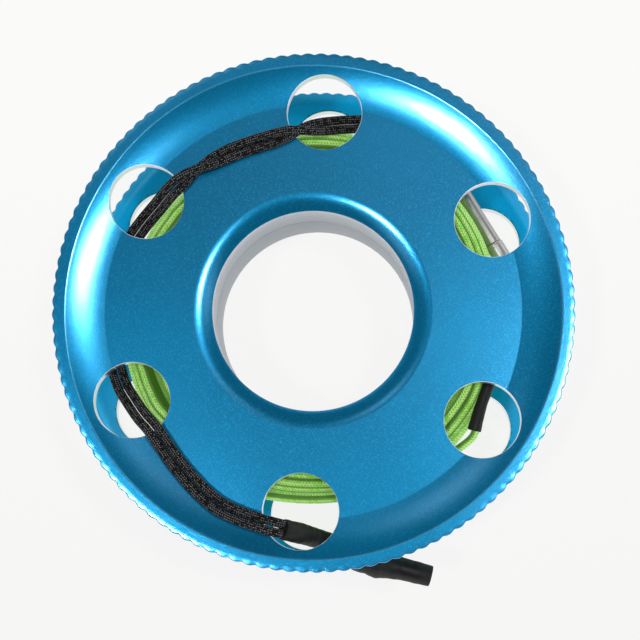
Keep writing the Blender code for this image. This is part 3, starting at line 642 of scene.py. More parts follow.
def braid_material(
    name, dark, light, braid, depth, roughness, sheen, specular, crown, light_yarns=0.75, glow=0.0
):
    """Braided yarn on a cord's own UV map, with painted shade in the gaps between yarns and where a
    turn is tucked in between others, and a painted highlight on the crowns of the light yarns.

    glow is painted light: the finished colour is given off as light, also where no lamp reaches."""
    material, tree, shader = new_material(name, roughness, specular=specular)
    inputs = {**braid, "Light yarns": light_yarns, "Crown": crown}
    cover = add_group(tree, "braided_cover", braid_group, inputs)
    # Painted shade in the gaps between the yarns
    body = blended(cover["Height"].ranged(0.15, 0.7), shaded(dark, 0.45), dark)
    # Painted highlight on the crowns of the light yarns
    shade = blended(cover["Tone"], body, light)
    # Painted shade where a turn lies tucked in between others
    turn_shade = attribute(tree, "tucked").ranged(0.12, 0.75, 0.0, 0.88)
    shade = blended(turn_shade, shade, shaded(dark, 0.22))
    feed(tree, shader, {
        "Base Color": shade,
        "Roughness": cover["Tone"].ranged(0.0, 1.0, roughness, roughness * 0.65),
        "Sheen Weight": sheen, "Sheen Roughness": 0.4,
        "Normal": bump(cover["Height"], depth, 0.9),
    })
    # Painted light: the line gives off its own colour as a glow
    if glow:
        feed(tree, shader, {"Emission Color": shade, "Emission Strength": glow})
    return material


def sleeve_material(name, colour):
    """Matt shrunk sleeve with a faint orange-peel surface and scuffs."""
    material, tree, shader = new_material(name, 0.5, specular=0.25)
    grain = blasted_grain(tree, 0.0004, 0.004)
    feed(tree, shader, {
        "Base Color": blended(grain["Drift"] * 0.5, colour, shaded(colour, 2.6)),
        "Roughness": grain["Drift"].ranged(0.0, 1.0, 0.42, 0.6),
        "Normal": bump(grain["Height"], 0.00004, 0.5),
    })
    return material


# Meshes


def quarter(count):
    """Angles that rise in equal steps to a right angle."""
    return [pi / 2 * step / count for step in range(1, count + 1)]


def arc(centre, radius, start, end, count):
    """Points of an arc in a turned outline, both ends included."""
    angles = [start + (end - start) * step / count for step in range(count + 1)]
    return [(centre[0] + radius * cos(a), centre[1] + radius * sin(a)) for a in angles]


def rounded(outline, sizes, steps=4):
    """An outline whose corners are rounded. sizes gives each corner's size by its index."""
    result = []
    count = len(outline)
    for index, corner in enumerate(outline):
        size = sizes.get(index, 0)
        if not size:
            result.append(corner)
            continue
        here = Vector(corner)
        before = (Vector(outline[index - 1]) - here).normalized() * size
        after = (Vector(outline[(index + 1) % count]) - here).normalized() * size
        for step in range(steps + 1):
            share = step / steps
            result.append(tuple(here + before * (1 - share) ** 2 + after * share ** 2))
    return result


def add_object(name, mesh, *materials):
    item = bpy.data.objects.new(name, mesh)
    bpy.context.scene.collection.objects.link(item)
    for material in materials:
        mesh.materials.append(material)
    return item


def shade_mesh(mesh, angle=SHARP_ANGLE):
    """Shade a mesh smooth between its sharp edges."""
    mesh.shade_smooth()
    mesh.set_sharp_from_angle(angle=angle)


def tidy_mesh(mesh, merge=TINY, angle=SHARP_ANGLE):
    """Merge doubles, point the faces outward and shade the mesh."""
    sketch = bmesh.new()
    sketch.from_mesh(mesh)
    bmesh.ops.remove_doubles(sketch, verts=sketch.verts[:], dist=merge)
    bmesh.ops.recalc_face_normals(sketch, faces=sketch.faces[:])
    sketch.to_mesh(mesh)
    sketch.free()
    shade_mesh(mesh, angle)


def skin_mesh(name, rings, closed=False, capped=False):
    """A mesh with faces between each ring of points and the next."""
    steps = len(rings[0])
    count = len(rings)
    faces = []
    for row in range(count if closed else count - 1):
        here, below = row * steps, (row + 1) % count * steps
        for step in range(steps):
            after = (step + 1) % steps
            faces.append((here + step, below + step, below + after, here + after))
    if capped:
        faces += [tuple(range(steps)), tuple(range((count - 1) * steps, count * steps))]
    mesh = bpy.data.meshes.new(name)
    mesh.from_pydata([point for ring in rings for point in ring], [], faces)
    return mesh


def add_marks(mesh, name, values, kind="FLOAT", domain="POINT"):
    """Store named values on a mesh, which the materials and node trees read."""
    field = "value" if kind == "FLOAT" else "vector"
    mesh.attributes.new(name, kind, domain).data.foreach_set(field, values)


def turned_mesh(name, outline, steps, marks=None):
    """A closed mesh turned about Z from an outline that runs down on its outer side.

    marks holds named values for the outline's rows. An outline may begin and end on the axis."""
    angles = [tau * step / steps for step in range(steps)]
    rings = [
        [(radius * cos(a), radius * sin(a), height) for a in angles] for radius, height in outline
    ]
    mesh = skin_mesh(name, rings, closed=outline[0][0] > 0)
    for mark, rows in (marks or {}).items():
        add_marks(mesh, mark, [rows.get(row, 0.0) for row in range(len(outline)) for _ in angles])
    return mesh


def keep_used_materials(mesh):
    """Drop the material slots that no face uses."""
    places = [0] * len(mesh.polygons)
    mesh.polygons.foreach_get("material_index", places)
    used = sorted(set(places))
    materials = list(mesh.materials)
    if len(materials) > len(used):
        mesh.materials.clear()
        for place in used:
            mesh.materials.append(materials[place])
        mesh.polygons.foreach_set("material_index", [used.index(place) for place in places])


def plain_piece(name, item):
    """The evaluated object as a plain mesh object, in place of the first one."""
    bpy.context.view_layer.update()
    graph = bpy.context.evaluated_depsgraph_get()
    mesh = bpy.data.meshes.new_from_object(item.evaluated_get(graph), depsgraph=graph)
    mesh.name = name
    keep_used_materials(mesh)
    bpy.data.objects.remove(item, do_unlink=True)
    return add_object(name, mesh)


def use_tree(item, tree, values):
    """Give an object a Geometry Nodes modifier with values for its named inputs."""
    modifier = item.modifiers.new(tree.name, "NODES")
    modifier.node_group = tree
    for socket in tree.interface.items_tree:
        if socket.in_out == "INPUT" and socket.name in values:
            modifier[socket.identifier] = values[socket.name]


def finish_piece(piece, body, material_slot, *nodes):
    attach(piece, body)
    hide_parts(*nodes)


def store(tree, geometry, name, value, kind="FLOAT", domain="POINT"):
    """Geometry with a named attribute."""
    inputs = {"Geometry": geometry, "Name": name, "Value": value}
    return put(
        tree, "GeometryNodeStoreNamedAttribute", inputs, data_type=kind, domain=domain
    )


def stored(tree, name, kind="FLOAT"):
    """The values of a named attribute."""
    return put(tree, "GeometryNodeInputNamedAttribute", {"Name": name}, data_type=kind)


def covered(tree, geometry, material, **inputs):
    """Geometry with a material on it."""
    return put(
        tree, "GeometryNodeSetMaterial", {"Geometry": geometry, "Material": material, **inputs}
    )


# Flanges


def cove_height(radius):
    """Height of a flange's face, with its rim at 0."""
    if radius <= COVE_RADIUS:
        return -WEB_RECESS
    half = atan(WEB_RECESS / COVE_WIDTH) - COVE_START_SLOPE
    bend = sqrt(WEB_RECESS ** 2 + COVE_WIDTH ** 2) / 2 / sin(half)
    centre_radius = COVE_RADIUS - bend * sin(COVE_START_SLOPE)
    centre_height = bend * cos(COVE_START_SLOPE) - WEB_RECESS
    return min(0, centre_height - sqrt(bend ** 2 - (radius - centre_radius) ** 2))


def lip_rows():
    """Outline of the rounded lip from the bore to its crease in the web."""
    chord = hypot(LIP_WIDTH, LIP_DROP)
    slope = atan(LIP_DROP / LIP_WIDTH)
    reach = sqrt(LIP_CROWN_RADIUS ** 2 - (chord / 2) ** 2)
    middle = (LIP_RADIUS + LIP_WIDTH / 2, -LIP_DEPTH + LIP_DROP / 2)
    centre = (middle[0] + reach * sin(slope), middle[1] - reach * cos(slope))
    half = atan(chord / 2 / reach)
    facing = pi / 2 + slope
    return arc(centre, LIP_CROWN_RADIUS, facing + half, facing - half, LIP_STEPS)


def rim_rows():
    """Outline of a flange from its web out round the rim, and back in to its inner face."""
    radii = [COVE_RADIUS + COVE_WIDTH * step / COVE_STEPS for step in range(COVE_STEPS + 1)]
    cove = [(radius, cove_height(radius)) for radius in radii]
    last, before = Vector(cove[-1]), Vector(cove[-2])
    ring_middle = RING_RADIUS + RING_ROW
    edge = [
        tuple(last - (last - before).normalized() * RING_EDGE_ROUND),
        (RING_RADIUS - RING_EDGE_ROUND * 0.3, -RING_EDGE_ROUND * 0.12),
        (RING_RADIUS + RING_EDGE_ROUND * 0.4, 0), (RING_RADIUS + RING_EDGE_ROUND * 2, 0),
        (ring_middle, 0),
    ]
    corner = FLANGE_RADIUS - EDGE_ROUND
    return [
        (COVE_RADIUS - CREASE_ROW, -WEB_RECESS), cove[0],
        (COVE_RADIUS + CREASE_ROW, cove_height(COVE_RADIUS + CREASE_ROW)), *cove[1:-1], *edge,
        *arc((corner, -EDGE_ROUND), EDGE_ROUND, pi / 2, 0, 5),
        *arc((corner, EDGE_ROUND - WEB_THICKNESS), EDGE_ROUND, 0, -pi / 2, 5),
        (ring_middle, -WEB_THICKNESS),
        *((radius, height - WEB_THICKNESS) for radius, height in reversed(cove[::2])),
        (COVE_RADIUS - CREASE_ROW, -INNER_FACE_DEPTH),
    ]


def flange_marks(outline):
    """Marks of the outline's rows: worn edges with a painted highlight along the flat ring's edge,
    and the dull inner face between the flanges, which the material also paints lighter.
    """
    wear_and_highlight, inner = {}, {}
    for index, (radius, height) in enumerate(outline):
        depth = abs(height)
        if radius > FLANGE_RADIUS - EDGE_ROUND * 1.01 or abs(radius - LIP_RADIUS) < 0.0001:
            wear_and_highlight[index] = 0.5
        # Painted highlight: the flat ring's edge gets the full mark, for the bright line that light
        # draws along it
        elif abs(radius - RING_RADIUS) < RING_EDGE_ROUND and depth < 0.001:
            wear_and_highlight[index] = 1.0
        back = WEB_THICKNESS * 0.98 if radius > COVE_RADIUS else SEAT_DEPTH * 1.01
        if depth > back:
            inner[index] = 1.0
    return {"edge_wear_and_highlight": wear_and_highlight, "inner_face": inner}


def flange_tree():
    """Geometry Nodes: the knurled rim and the ring of drilled holes of a turned flange."""
    tree, given, result = new_group(
        "knurled_drilled_flange", "GeometryNodeTree",
        (
            ("Geometry", "Geometry"), ("Knurls", "Int", 120), ("Knurl depth", "Float", 0.0004),
            ("Knurl turn", "Float", 0.0), ("Rim radius", "Float", 0.05),
            ("Knurl reach", "Float", 0.001), ("Edge round", "Float", 0.0002),
            ("Holes", "Int", 6), ("Hole turn", "Float", 0.0), ("Drill", "Object"),
            ("Face", "Material"), ("Wall", "Material"),
        ),
        (("Geometry", "Geometry"),),
    )
    x, y, _ = put(tree, "GeometryNodeInputPosition").parts()
    wave = (y.maths("ARCTAN2", x) - given["Knurl turn"]) * (given["Knurls"] * 0.5)
    depth = (1.0 - wave.maths("SINE").maths("ABSOLUTE")) * given["Knurl depth"]
    radius = (x * x + y * y).maths("SQRT")
    end = given["Rim radius"] - given["Edge round"] * 1.02
    limits = {"Value": radius, "From Min": end - given["Knurl reach"], "From Max": end}
    inward = depth * put(tree, "ShaderNodeMapRange", limits) * -1.0 / radius
    offset = combined(tree, x * inward, y * inward)
    knurled = put(
        tree, "GeometryNodeSetPosition", {"Geometry": given["Geometry"], "Offset": offset}
    )
    drill = put(
        tree, "GeometryNodeObjectInfo", {"Object": given["Drill"]}, "Geometry",
        transform_space="ORIGINAL"
    )
    index = put(tree, "GeometryNodeInputIndex")
    turn = index.maths("MULTIPLY_ADD", tau / given["Holes"], given["Hole turn"])
    ring = put(tree, "GeometryNodeInstanceOnPoints", {
        "Points": put(tree, "GeometryNodePoints", {"Count": given["Holes"]}),
        "Instance": store(tree, drill, "drilled", True, "BOOLEAN", "FACE"),
        "Rotation": combined(tree, 0.0, 0.0, turn),
    })
    cut = put(
        tree, "GeometryNodeMeshBoolean", {"Mesh 1": knurled, "Mesh 2": ring},
        operation="DIFFERENCE", solver="MANIFOLD"
    )
    real = put(tree, "GeometryNodeRealizeInstances", {"Geometry": cut})
    faced = covered(tree, real, given["Face"])
    drilled = stored(tree, "drilled", "BOOLEAN")
    feed(tree, result, {"Geometry": covered(tree, faced, given["Wall"], Selection=drilled)})
    return tree


def drill_mesh(chamfer, top_height, upward):
    """A drill for the hole at angle 0, whose chamfers follow the flange's dished faces.

    The flange's outer face is at top_height, and faces up where upward is 1."""
    far_radius = HOLE_RADIUS + chamfer
    wide = far_radius + DRILL_OVERRUN
    rings = [[] for _ in range(6)]
    for step in range(HOLE_STEPS):
        angle = tau * step / HOLE_STEPS
        near, far = (
            cove_height(hypot(HOLE_PITCH_RADIUS + radius * cos(angle), radius * sin(angle)))
            for radius in (HOLE_RADIUS, far_radius)
        )
        rows = [(wide, DRILL_REACH[0])]
        for side, inward in ((0, -chamfer), (-WEB_THICKNESS, chamfer)):
            inner, outer = near + side + inward, far + side
            edge = [
                (wide, outer + (outer - inner) * DRILL_OVERRUN / chamfer), (HOLE_RADIUS, inner)
            ]
            rows += edge if side == 0 else reversed(edge)
        rows.append((wide, DRILL_REACH[1]))
        for ring, (radius, height) in zip(rings, rows):
            ring.append((
                HOLE_PITCH_RADIUS + radius * cos(angle), radius * sin(angle),
                top_height + height * upward
            ))
    mesh = skin_mesh("drill", rings, capped=True)
    tidy_mesh(mesh)
    return mesh


class BuildFlanges(bpy.types.Operator):
    """Turn, knurl and drill the two dished flanges"""

    bl_idname = "dive_spool.flanges"
    bl_label = "Flanges"

    def execute(self, context):
        sizes = context.scene.dive_spool_sizes
        colours = context.scene.dive_spool_colours
        tree = flange_tree()
        seat_radius = HUB_NOSE_RADIUS + SEAT_GAP
        front = [
            *lip_rows(), (LIP_RADIUS + LIP_WIDTH + CREASE_ROW, -WEB_RECESS), *rim_rows(),
            (seat_radius, -INNER_FACE_DEPTH), (seat_radius, -SEAT_DEPTH),
            (LIP_RADIUS, -SEAT_DEPTH),
        ]
        head_radius = RETAINER_HEAD_RADIUS + SEAT_GAP
        bore_radius = RETAINER_RADIUS + SEAT_GAP
        ledge = WEB_RECESS + RETAINER_HEAD_THICKNESS + SEAT_GAP
        rear = [
            (bore_radius, -ledge), (head_radius, -ledge),
            (head_radius, -WEB_RECESS - HEAD_BREAK), (head_radius + HEAD_BREAK, -WEB_RECESS),
            *rim_rows(), (bore_radius, -INNER_FACE_DEPTH),
        ]
        mirrored = [(radius, -height) for radius, height in reversed(rear)]
        cut = cut_metal_material("cut_aluminium", colours.bare_metal)
        for node, outline, base, upward in (
            ("front_flange", front, WIDTH, 1), ("rear_flange", mirrored, 0.0, -1),
        ):
            name = node + "_knurled"
            marks = flange_marks(outline)
            face = anodised_material(name + "_blue", colours.anodised)
            outline = [(radius, base + height) for radius, height in outline]
            item = add_object(name + "_blank", turned_mesh(name, outline, FLANGE_STEPS, marks))
            drill = add_object("drill", drill_mesh(sizes.hole_chamfer, base, upward))
            use_tree(item, tree, {
                "Knurls": sizes.knurl_count, "Knurl depth": sizes.knurl_depth,
                "Knurl turn": KNURL_TURN, "Rim radius": FLANGE_RADIUS,
                "Knurl reach": KNURL_REACH, "Edge round": EDGE_ROUND, "Holes": HOLE_COUNT,
                "Hole turn": HOLE_TURN, "Drill": drill, "Face": face, "Wall": cut,
            })
            piece = plain_piece(name, item)
            bpy.data.objects.remove(drill, do_unlink=True)
            shade_mesh(piece.data)
            finish_piece(piece, "spool", "blue_anodised", node)
        return {"FINISHED"}


class BuildHub(bpy.types.Operator):
    """Turn the hub's white barrel and the retainer that closes it"""

    bl_idname = "dive_spool.hub"
    bl_label = "Hub"

    def execute(self, context):
        colours = context.scene.dive_spool_colours
        nose_top = WIDTH - SEAT_DEPTH - SEAT_GAP
        inner_top = WIDTH - INNER_FACE_DEPTH - SEAT_GAP
        inner_low = INNER_FACE_DEPTH + SEAT_GAP
        socket = RETAINER_RADIUS + SEAT_GAP
        seam = WIDTH - BORE_SEAM_DEPTH
        gap = SEAT_GAP / 2
        barrel = rounded([
            (HUB_BORE_RADIUS, nose_top), (HUB_NOSE_RADIUS, nose_top),
            (HUB_NOSE_RADIUS, inner_top), (HUB_BARREL_RADIUS, inner_top),
            (HUB_BARREL_RADIUS, inner_low), (socket, inner_low),
            (socket, seam + gap), (HUB_BORE_RADIUS, seam + gap),
        ], {0: 0.0002, 1: 0.0003, 3: 0.0003, 4: 0.0003, 5: 0.0003, 7: 0.00012})
        head_top = WEB_RECESS + RETAINER_HEAD_THICKNESS
        angles = [pi / 2 * (1 - step / LIP_STEPS) for step in range(LIP_STEPS + 1)]
        mouth = [
            (HUB_BORE_RADIUS + MOUTH_WIDTH * (1 - cos(a)), WEB_RECESS + MOUTH_DEPTH * (1 - sin(a)))
            for a in angles
        ]
        retainer = rounded([
            (HUB_BORE_RADIUS, seam - gap), (RETAINER_RADIUS, seam - gap),
            (RETAINER_RADIUS, head_top), (RETAINER_HEAD_RADIUS, head_top),
            (RETAINER_HEAD_RADIUS, WEB_RECESS), *mouth,
        ], {0: 0.00012, 1: 0.0003, 3: 0.00025, 4: 0.0003})
        for node, outline in (("hub_barrel", barrel), ("hub_retainer", retainer)):
            name = node + "_turned"
            mesh = turned_mesh(name, outline, HUB_STEPS)
            tidy_mesh(mesh)
            piece = add_object(name, mesh, acetal_material(name + "_white", colours.acetal))
            finish_piece(piece, "spool", "white_acetal", node)
        return {"FINISHED"}


# Cords and line


def fine_curve(points, steps):
    """Many points on a smooth curve through the given points."""
    first = points[0] * 2 - points[1]
    last = points[-1] * 2 - points[-2]
    knots = [first, *points, last]
    fine = []
    for before, start, end, after in zip(knots, knots[1:], knots[2:], knots[3:]):
        for step in range(steps):
            t = step / steps
            bend = 2 * start + (end - before) * t
            bend += (2 * before - 5 * start + 4 * end - after) * t ** 2
            bend += (3 * start - before - 3 * end + after) * t ** 3
            fine.append(bend / 2)
    return [*fine, points[-1]]


def chain_length(points):
    return sum((end - start).length for start, end in zip(points, points[1:]))


def spread(fine, count):
    """The ends of equal steps along a fine chain of points."""
    lengths = [0.0]
    for start, end in zip(fine, fine[1:]):
        lengths.append(lengths[-1] + (end - start).length)
    result = []
    index = 0
    for step in range(count + 1):
        target = lengths[-1] * step / count
        while index < len(fine) - 2 and lengths[index + 1] < target:
            index += 1
        span = lengths[index + 1] - lengths[index]
        share = (target - lengths[index]) / span if span else 0
        result.append(fine[index].lerp(fine[index + 1], share))
    return result


def laid(points, spacing):
    """Points about a spacing apart on a smooth curve through the given points."""
    fine = fine_curve(points, 12)
    return spread(fine, max(2, round(chain_length(fine) / spacing)))


def cylindrical(radius, angle, height):
    return Vector((radius * cos(angle), radius * sin(angle), height))


def smooth_step(value):
    share = max(0, min(1, value))
    return share * share * (3 - 2 * share)


def tube_tree():
    """Geometry Nodes: a round cord along a chain of points, with a braid in relief."""
    tree, given, result = new_group(
        "braided_tube", "GeometryNodeTree",
        (
            ("Geometry", "Geometry"), ("Sides", "Int", 16), ("Diameter", "Float", 0.002),
            ("Columns", "Float", 8.0), ("Stitches", "Float", 2.0), ("Relief", "Float", 0.0),
            ("Cover", "Material"),
        ),
        (("Geometry", "Geometry"),),
    )
    line = put(tree, "GeometryNodeMeshToCurve", {"Mesh": given["Geometry"]})
    radius = stored(tree, "radius")
    sized = put(tree, "GeometryNodeSetCurveRadius", {"Curve": line, "Radius": radius})
    spline = put(tree, "GeometryNodeSplineParameter", out=None)
    ring = put(
        tree, "GeometryNodeCurveArc",
        {"Resolution": given["Sides"] + 1.0, "Radius": 1.0, "Sweep Angle": tau}, mode="RADIUS"
    )
    tube = put(tree, "GeometryNodeCurveToMesh", {
        "Curve": store(tree, sized, "along", spline["Length"]),
        "Profile Curve": store(tree, ring, "around", spline["Factor"]), "Scale": radius,
    })
    around = stored(tree, "around")
    along = stored(tree, "along") / given["Diameter"]
    mapped = store(tree, tube, "braid", combined(tree, around, along), "FLOAT2", "CORNER")
    outward = stored(tree, "outward", "FLOAT_VECTOR")
    normal = put(tree, "GeometryNodeInputNormal")
    whole, facing = (outward.vector("DOT_PRODUCT", other, "Value") for other in (outward, normal))
    # Painted shade: sides of a wound turn that face away from the pack's outside are marked for the
    # material to darken, as shade between turns
    marked = store(tree, mapped, "tucked", whole - facing)
    height, _ = braid_height(around, along, given["Columns"], given["Stitches"])
    lifted = store(tree, marked, "lift", (height - 1.0) * given["Relief"])
    closed = put(tree, "GeometryNodeMergeByDistance", {"Geometry": lifted, "Distance": TINY})
    offset = put(
        tree, "ShaderNodeVectorMath", {0: normal, "Scale": stored(tree, "lift")}, operation="SCALE"
    )
    raised = put(tree, "GeometryNodeSetPosition", {"Geometry": closed, "Offset": offset})
    real = put(tree, "GeometryNodeRealizeInstances", {"Geometry": raised})
    feed(tree, result, {"Geometry": covered(tree, real, given["Cover"])})
    return tree


def ended(points, radius):
    """A chain of points, each with its radius, whose rounded ends close on the chain."""
    caps = []
    for here, inner in ((points[0], points[1]), (points[-1], points[-2])):
        out = (here - inner).normalized() * radius * 0.5
        caps.append([
            (here + out * sin(a), max(radius * cos(a), radius * TIP_SHARE)) for a in quarter(5)
        ])
    return [*reversed(caps[0]), *((point, radius) for point in points), *caps[1]]


def tube_piece(name, path, values, wound=False):
    """A tube along a path of points with radii, as a plain mesh. A wound one lies in a pack."""
    points, radii = zip(*path)
    mesh = bpy.data.meshes.new(name)
    mesh.from_pydata(points, [(index, index + 1) for index in range(len(points) - 1)], [])
    add_marks(mesh, "radius", radii)
    if wound:
        facings = [share for point in points for share in pack_facing(point)]
        add_marks(mesh, "outward", facings, "FLOAT_VECTOR")
    item = add_object(name + "_path", mesh)
    use_tree(item, bpy.data.node_groups.get("braided_tube") or tube_tree(), values)
    piece = plain_piece(name, item)
    tidy_mesh(piece.data)
    for spare in ("along", "around", "radius", "lift", "outward"):
        if spare in piece.data.attributes:
            piece.data.attributes.remove(piece.data.attributes[spare])
    return piece


def pack_point(turn, side):
    """Radius and height of the line's middle on the wound pack's rounded shoulder."""
    radius = PACK_LINE_RADIUS - SHOULDER_DROP * (1 - cos(turn))
    width = PACK_HALF_WIDTH - SHOULDER_WIDTH * (1 - sin(turn))
    return radius, MID_HEIGHT + side * width


def pack_facing(point):
    """Direction in which the wound pack's surface faces at a point on it."""
    height = point.z - MID_HEIGHT
    past = min(1, max(0, abs(height) - PACK_HALF_WIDTH + SHOULDER_WIDTH) / SHOULDER_WIDTH)
    slope = Vector((sqrt(1 - past ** 2) / SHOULDER_DROP, past / SHOULDER_WIDTH)).normalized()
    level = Vector((point.x, point.y, 0)).normalized() * slope.x
    return level.x, level.y, slope.y * (1 if height > 0 else -1)


def pack_rows(shoulders, count):
    """Equal steps along the pack's shoulders, given as start turn, end turn and side."""
    rows = []
    for start, end, side, steps in shoulders:
        shares = [step / steps for step in range(steps + 1)]
        rows += [pack_point(start + (end - start) * share, side) for share in shares]
    return spread([Vector((radius, height, 0)) for radius, height in rows], count)


def fullness(angle, height):
    """How far out the wound line lies at an angle and a height."""
    place = (angle / tau * 360 + 180) % 360 - 180
    front = smooth_step((height - BULGE_START) / BULGE_REACH)
    for (start, *low), (end, *high) in zip(FULLNESS, FULLNESS[1:]):
        if place <= end:
            share = smooth_step((place - start) / (end - start))
            whole, bulge = (first + (last - first) * share for first, last in zip(low, high))
            return whole + bulge * front
    return FULLNESS[-1][1]


def winding_path(turns):
    """The line's middle: up out of the inner layers, round the pack, and off to its sleeve."""
    shoulders = ((pi / 2, 0, 1, 60), (0, REAR_SHOULDER_TURN, -1, 60))
    rows = pack_rows(shoulders, turns * WINDING_STEPS)
    start = rows[0]
    bend_radius = start.x - LINE_BEND_RADIUS
    rise = [Vector((bend_radius - inset, 0, start.y)) for inset in BURIED_INSETS]
    for angle in quarter(5)[:-1]:
        far, side = LINE_BEND_RADIUS * sin(angle), LINE_BEND_RADIUS * (1 - cos(angle))
        rise.append(Vector((bend_radius + far, side, start.y)))
    turn = Matrix.Rotation(WINDING_START_ANGLE, 4, "Z")
    points = [turn @ point for point in rise]
    first_angle = WINDING_START_ANGLE + LINE_BEND_RADIUS / start.x
    last = len(rows) - 1
    for index, row in enumerate(rows):
        angle = first_angle + tau * index / WINDING_STEPS
        ease = min(1, index / WINDING_STEPS, (last - index) / WINDING_STEPS)
        drift = WANDER * sin(angle * 0.37 + 1.3) * sin(angle * 1.7) * ease
        lift = WAVE * sin(angle * 0.73 + 0.4) * sin(angle * 2.3 + 2) * ease
        lift += fullness(angle, row.y) * min(1, index / WINDING_STEPS * 2)
        points.append(cylindrical(row.x + lift, angle, row.y + drift))
    return points


class BuildLine(bpy.types.Operator):
    """Wind the green line on the hub, with its anchor knot, and run it to the swivel"""

    bl_idname = "dive_spool.line"
    bl_label = "Line"

    def execute(self, context):
        sizes = context.scene.dive_spool_sizes
        colours = context.scene.dive_spool_colours
        diameter = sizes.line_diameter
        radius = diameter / 2
        braid = braid_material(
            "green_braid", colours.line, colours.line_crown_highlight, GREEN_BRAID, depth=0.0001,
            roughness=0.36, sheen=0.25, specular=0.4, crown=0.4, glow=0.24
        )
        values = {
            **GREEN_BRAID, "Sides": 14, "Diameter": diameter, "Relief": 0.0, "Cover": braid
        }
        wound = winding_path(sizes.line_turns)
        sleeve_start, sleeve_next = (Vector(row[:3]) for row in LINE_SLEEVE_ROUTE[:2])
        into = (sleeve_next - sleeve_start).normalized() * diameter
        tail = [
            *wound[-2:], *(cylindrical(far, radians(a), height) for a, far, height in TAIL_ROUTE),
            sleeve_start - into, sleeve_start + into,
        ]
        fine = fine_curve(tail, 24)
        path = wound + spread(fine, round(chain_length(fine) / LINE_STEP))[2:]
        outer = tube_piece("line_outer_layer", ended(path, radius), values, wound=True)
        finish_piece(outer, "spool", "green_line", "line_outer_turns")
        inner = self.inner_layers(values, radius)
        finish_piece(inner, "spool", "green_line", "line_core")
        place = Matrix.Translation((ANCHOR_KNOT_RADIUS, 0, MID_HEIGHT))
        place = Matrix.Rotation(ANCHOR_KNOT_ANGLE, 4, "Z") @ place
        knot = knot_piece("line_anchor_hitch", *LINE_KNOT, place, values)
        finish_piece(knot, "spool", "green_line", "line_anchor_knot")
        eye = swivel_point(BARREL_FRONT_DISTANCE + LINE_EYE_REACH)
        middle = [Vector(point) for point in LOOP_ROUTE]
        path = eye_loop(middle, eye, diameter + SEAT_GAP, LOOP_STEP)
        loop = tube_piece("line_swivel_loop", ended(path, radius), {**values, "Sides": 20})
        finish_piece(loop, "spool", "green_line", "line_end_loop")
        shrunk = sleeve_material("line_sleeve_black", colours.sleeve)
        sleeve = sleeve_piece("line_shrunk_sleeve", LINE_SLEEVE_ROUTE, shrunk)
        finish_piece(sleeve, "spool", "black_sleeve", "line_end_sleeve")
        return {"FINISHED"}

    def inner_layers(self, values, radius):
        """The inner layers: a ridged body, and the rows that show on the rear shoulder."""
        inset = radius * INNER_DEPTH
        rows = []
        for side, start, end in ((1, 90, 0), (-1, 0, 90)):
            for step in range(SHOULDER_STEPS + 1):
                turn = radians(start + (end - start) * step / SHOULDER_STEPS)
                far, height = pack_point(turn, side)
                normal = Vector((cos(turn) / SHOULDER_DROP, sin(turn) / SHOULDER_WIDTH))
                normal = normal.normalized() * inset
                rows.append((far - normal.x, height - side * normal.y))
        hub = HUB_BARREL_RADIUS + SEAT_GAP
        high = MID_HEIGHT + PACK_HALF_WIDTH + radius
        low = MID_HEIGHT - PACK_HALF_WIDTH - radius
        step_radius = PACK_LINE_RADIUS - SHOULDER_DROP - inset
        ridges = ridged((hub, high), (step_radius, high), INNER_RIDGES, RIDGE_DEPTH)
        outline = [*ridges, *rows, (step_radius, low), (hub, low)]
        mesh = turned_mesh("line_inner_layers", outline, HUB_STEPS)
        tidy_mesh(mesh)
        corners = []
        for loop in mesh.loops:
            spot = mesh.vertices[loop.vertex_index].co
            corners.append((spot.z + spot.xy.length) / BRAID_PITCHES[0])
            corners.append(atan2(spot.y, spot.x) * PACK_LINE_RADIUS / BRAID_PITCHES[1])
        add_marks(mesh, "braid", corners, "FLOAT2", "CORNER")
        # Painted shade, even over the inner layers' body
        add_marks(mesh, "tucked", [INNER_TURN_SHADE] * len(mesh.vertices))
        base = add_object("line_inner_body", mesh, values["Cover"])
        path = []
        shoulder = ((UNDER_START, pi / 2, -1, 80),)
        for index, row in enumerate(pack_rows(shoulder, UNDER_ROWS * WINDING_STEPS)):
            angle = tau * index / WINDING_STEPS + UNDER_TURN
            far = row.x - 0.0001 + fullness(angle, row.y) * 0.8
            path.append(cylindrical(far, angle, row.y + 0.0001))
        under = tube_piece("line_under_rows", ended(path, radius), values, wound=True)
        return joined_piece("line_inner_layers", base, under)


def ridged(start, end, count, depth):
    """A stretch of outline as shallow ridges, like the ends of wound rows."""
    result = []
    for index in range(count * 4 + 1):
        share = index / (count * 4)
        spot = Vector(start).lerp(Vector(end), share)
        result.append((spot.x, spot.y - depth * 0.5 * (1 - abs(sin(share * count * pi)))))
    return result


def joined_piece(name, *items):
    """One object made of several, with their shared material."""
    sketch = bmesh.new()
    for item in items:
        sketch.from_mesh(item.data)
    mesh = bpy.data.meshes.new(name)
    sketch.to_mesh(mesh)
    sketch.free()
    material = items[0].data.materials[0]
    for item in items:
        bpy.data.objects.remove(item, do_unlink=True)
    shade_mesh(mesh)
    return add_object(name, mesh, material)


def knot_piece(name, diameter, size, place, values):
    """A small overhand knot."""
    points = []
    for step in range(150):
        a = 0.25 + (tau - 0.5) * step / 149
        across = (sin(a) + 2 * sin(2 * a), cos(a) - 2 * cos(2 * a), -sin(3 * a) * 1.5)
        points.append(place @ (Vector(across) * size))
    return tube_piece(name, ended(points, diameter / 2), {**values, "Diameter": diameter})


def swivel_direction():
    """Along the swivel, from the elastic cord's eye to the line's eye."""
    return Vector((sin(SWIVEL_TURN), -cos(SWIVEL_TURN), 0))


def swivel_point(distance):
    """A point on the swivel's axis, from the point of it nearest to the spool's axis."""
    return cylindrical(SWIVEL_AXIS_RADIUS, SWIVEL_TURN, MID_HEIGHT) + swivel_direction() * distance


def standing(direction, place):
    """Stands a piece at a place with its +Z along a direction."""
    turn = direction.to_track_quat("Z", "Y").to_matrix().to_4x4()
    return Matrix.Translation(place) @ turn


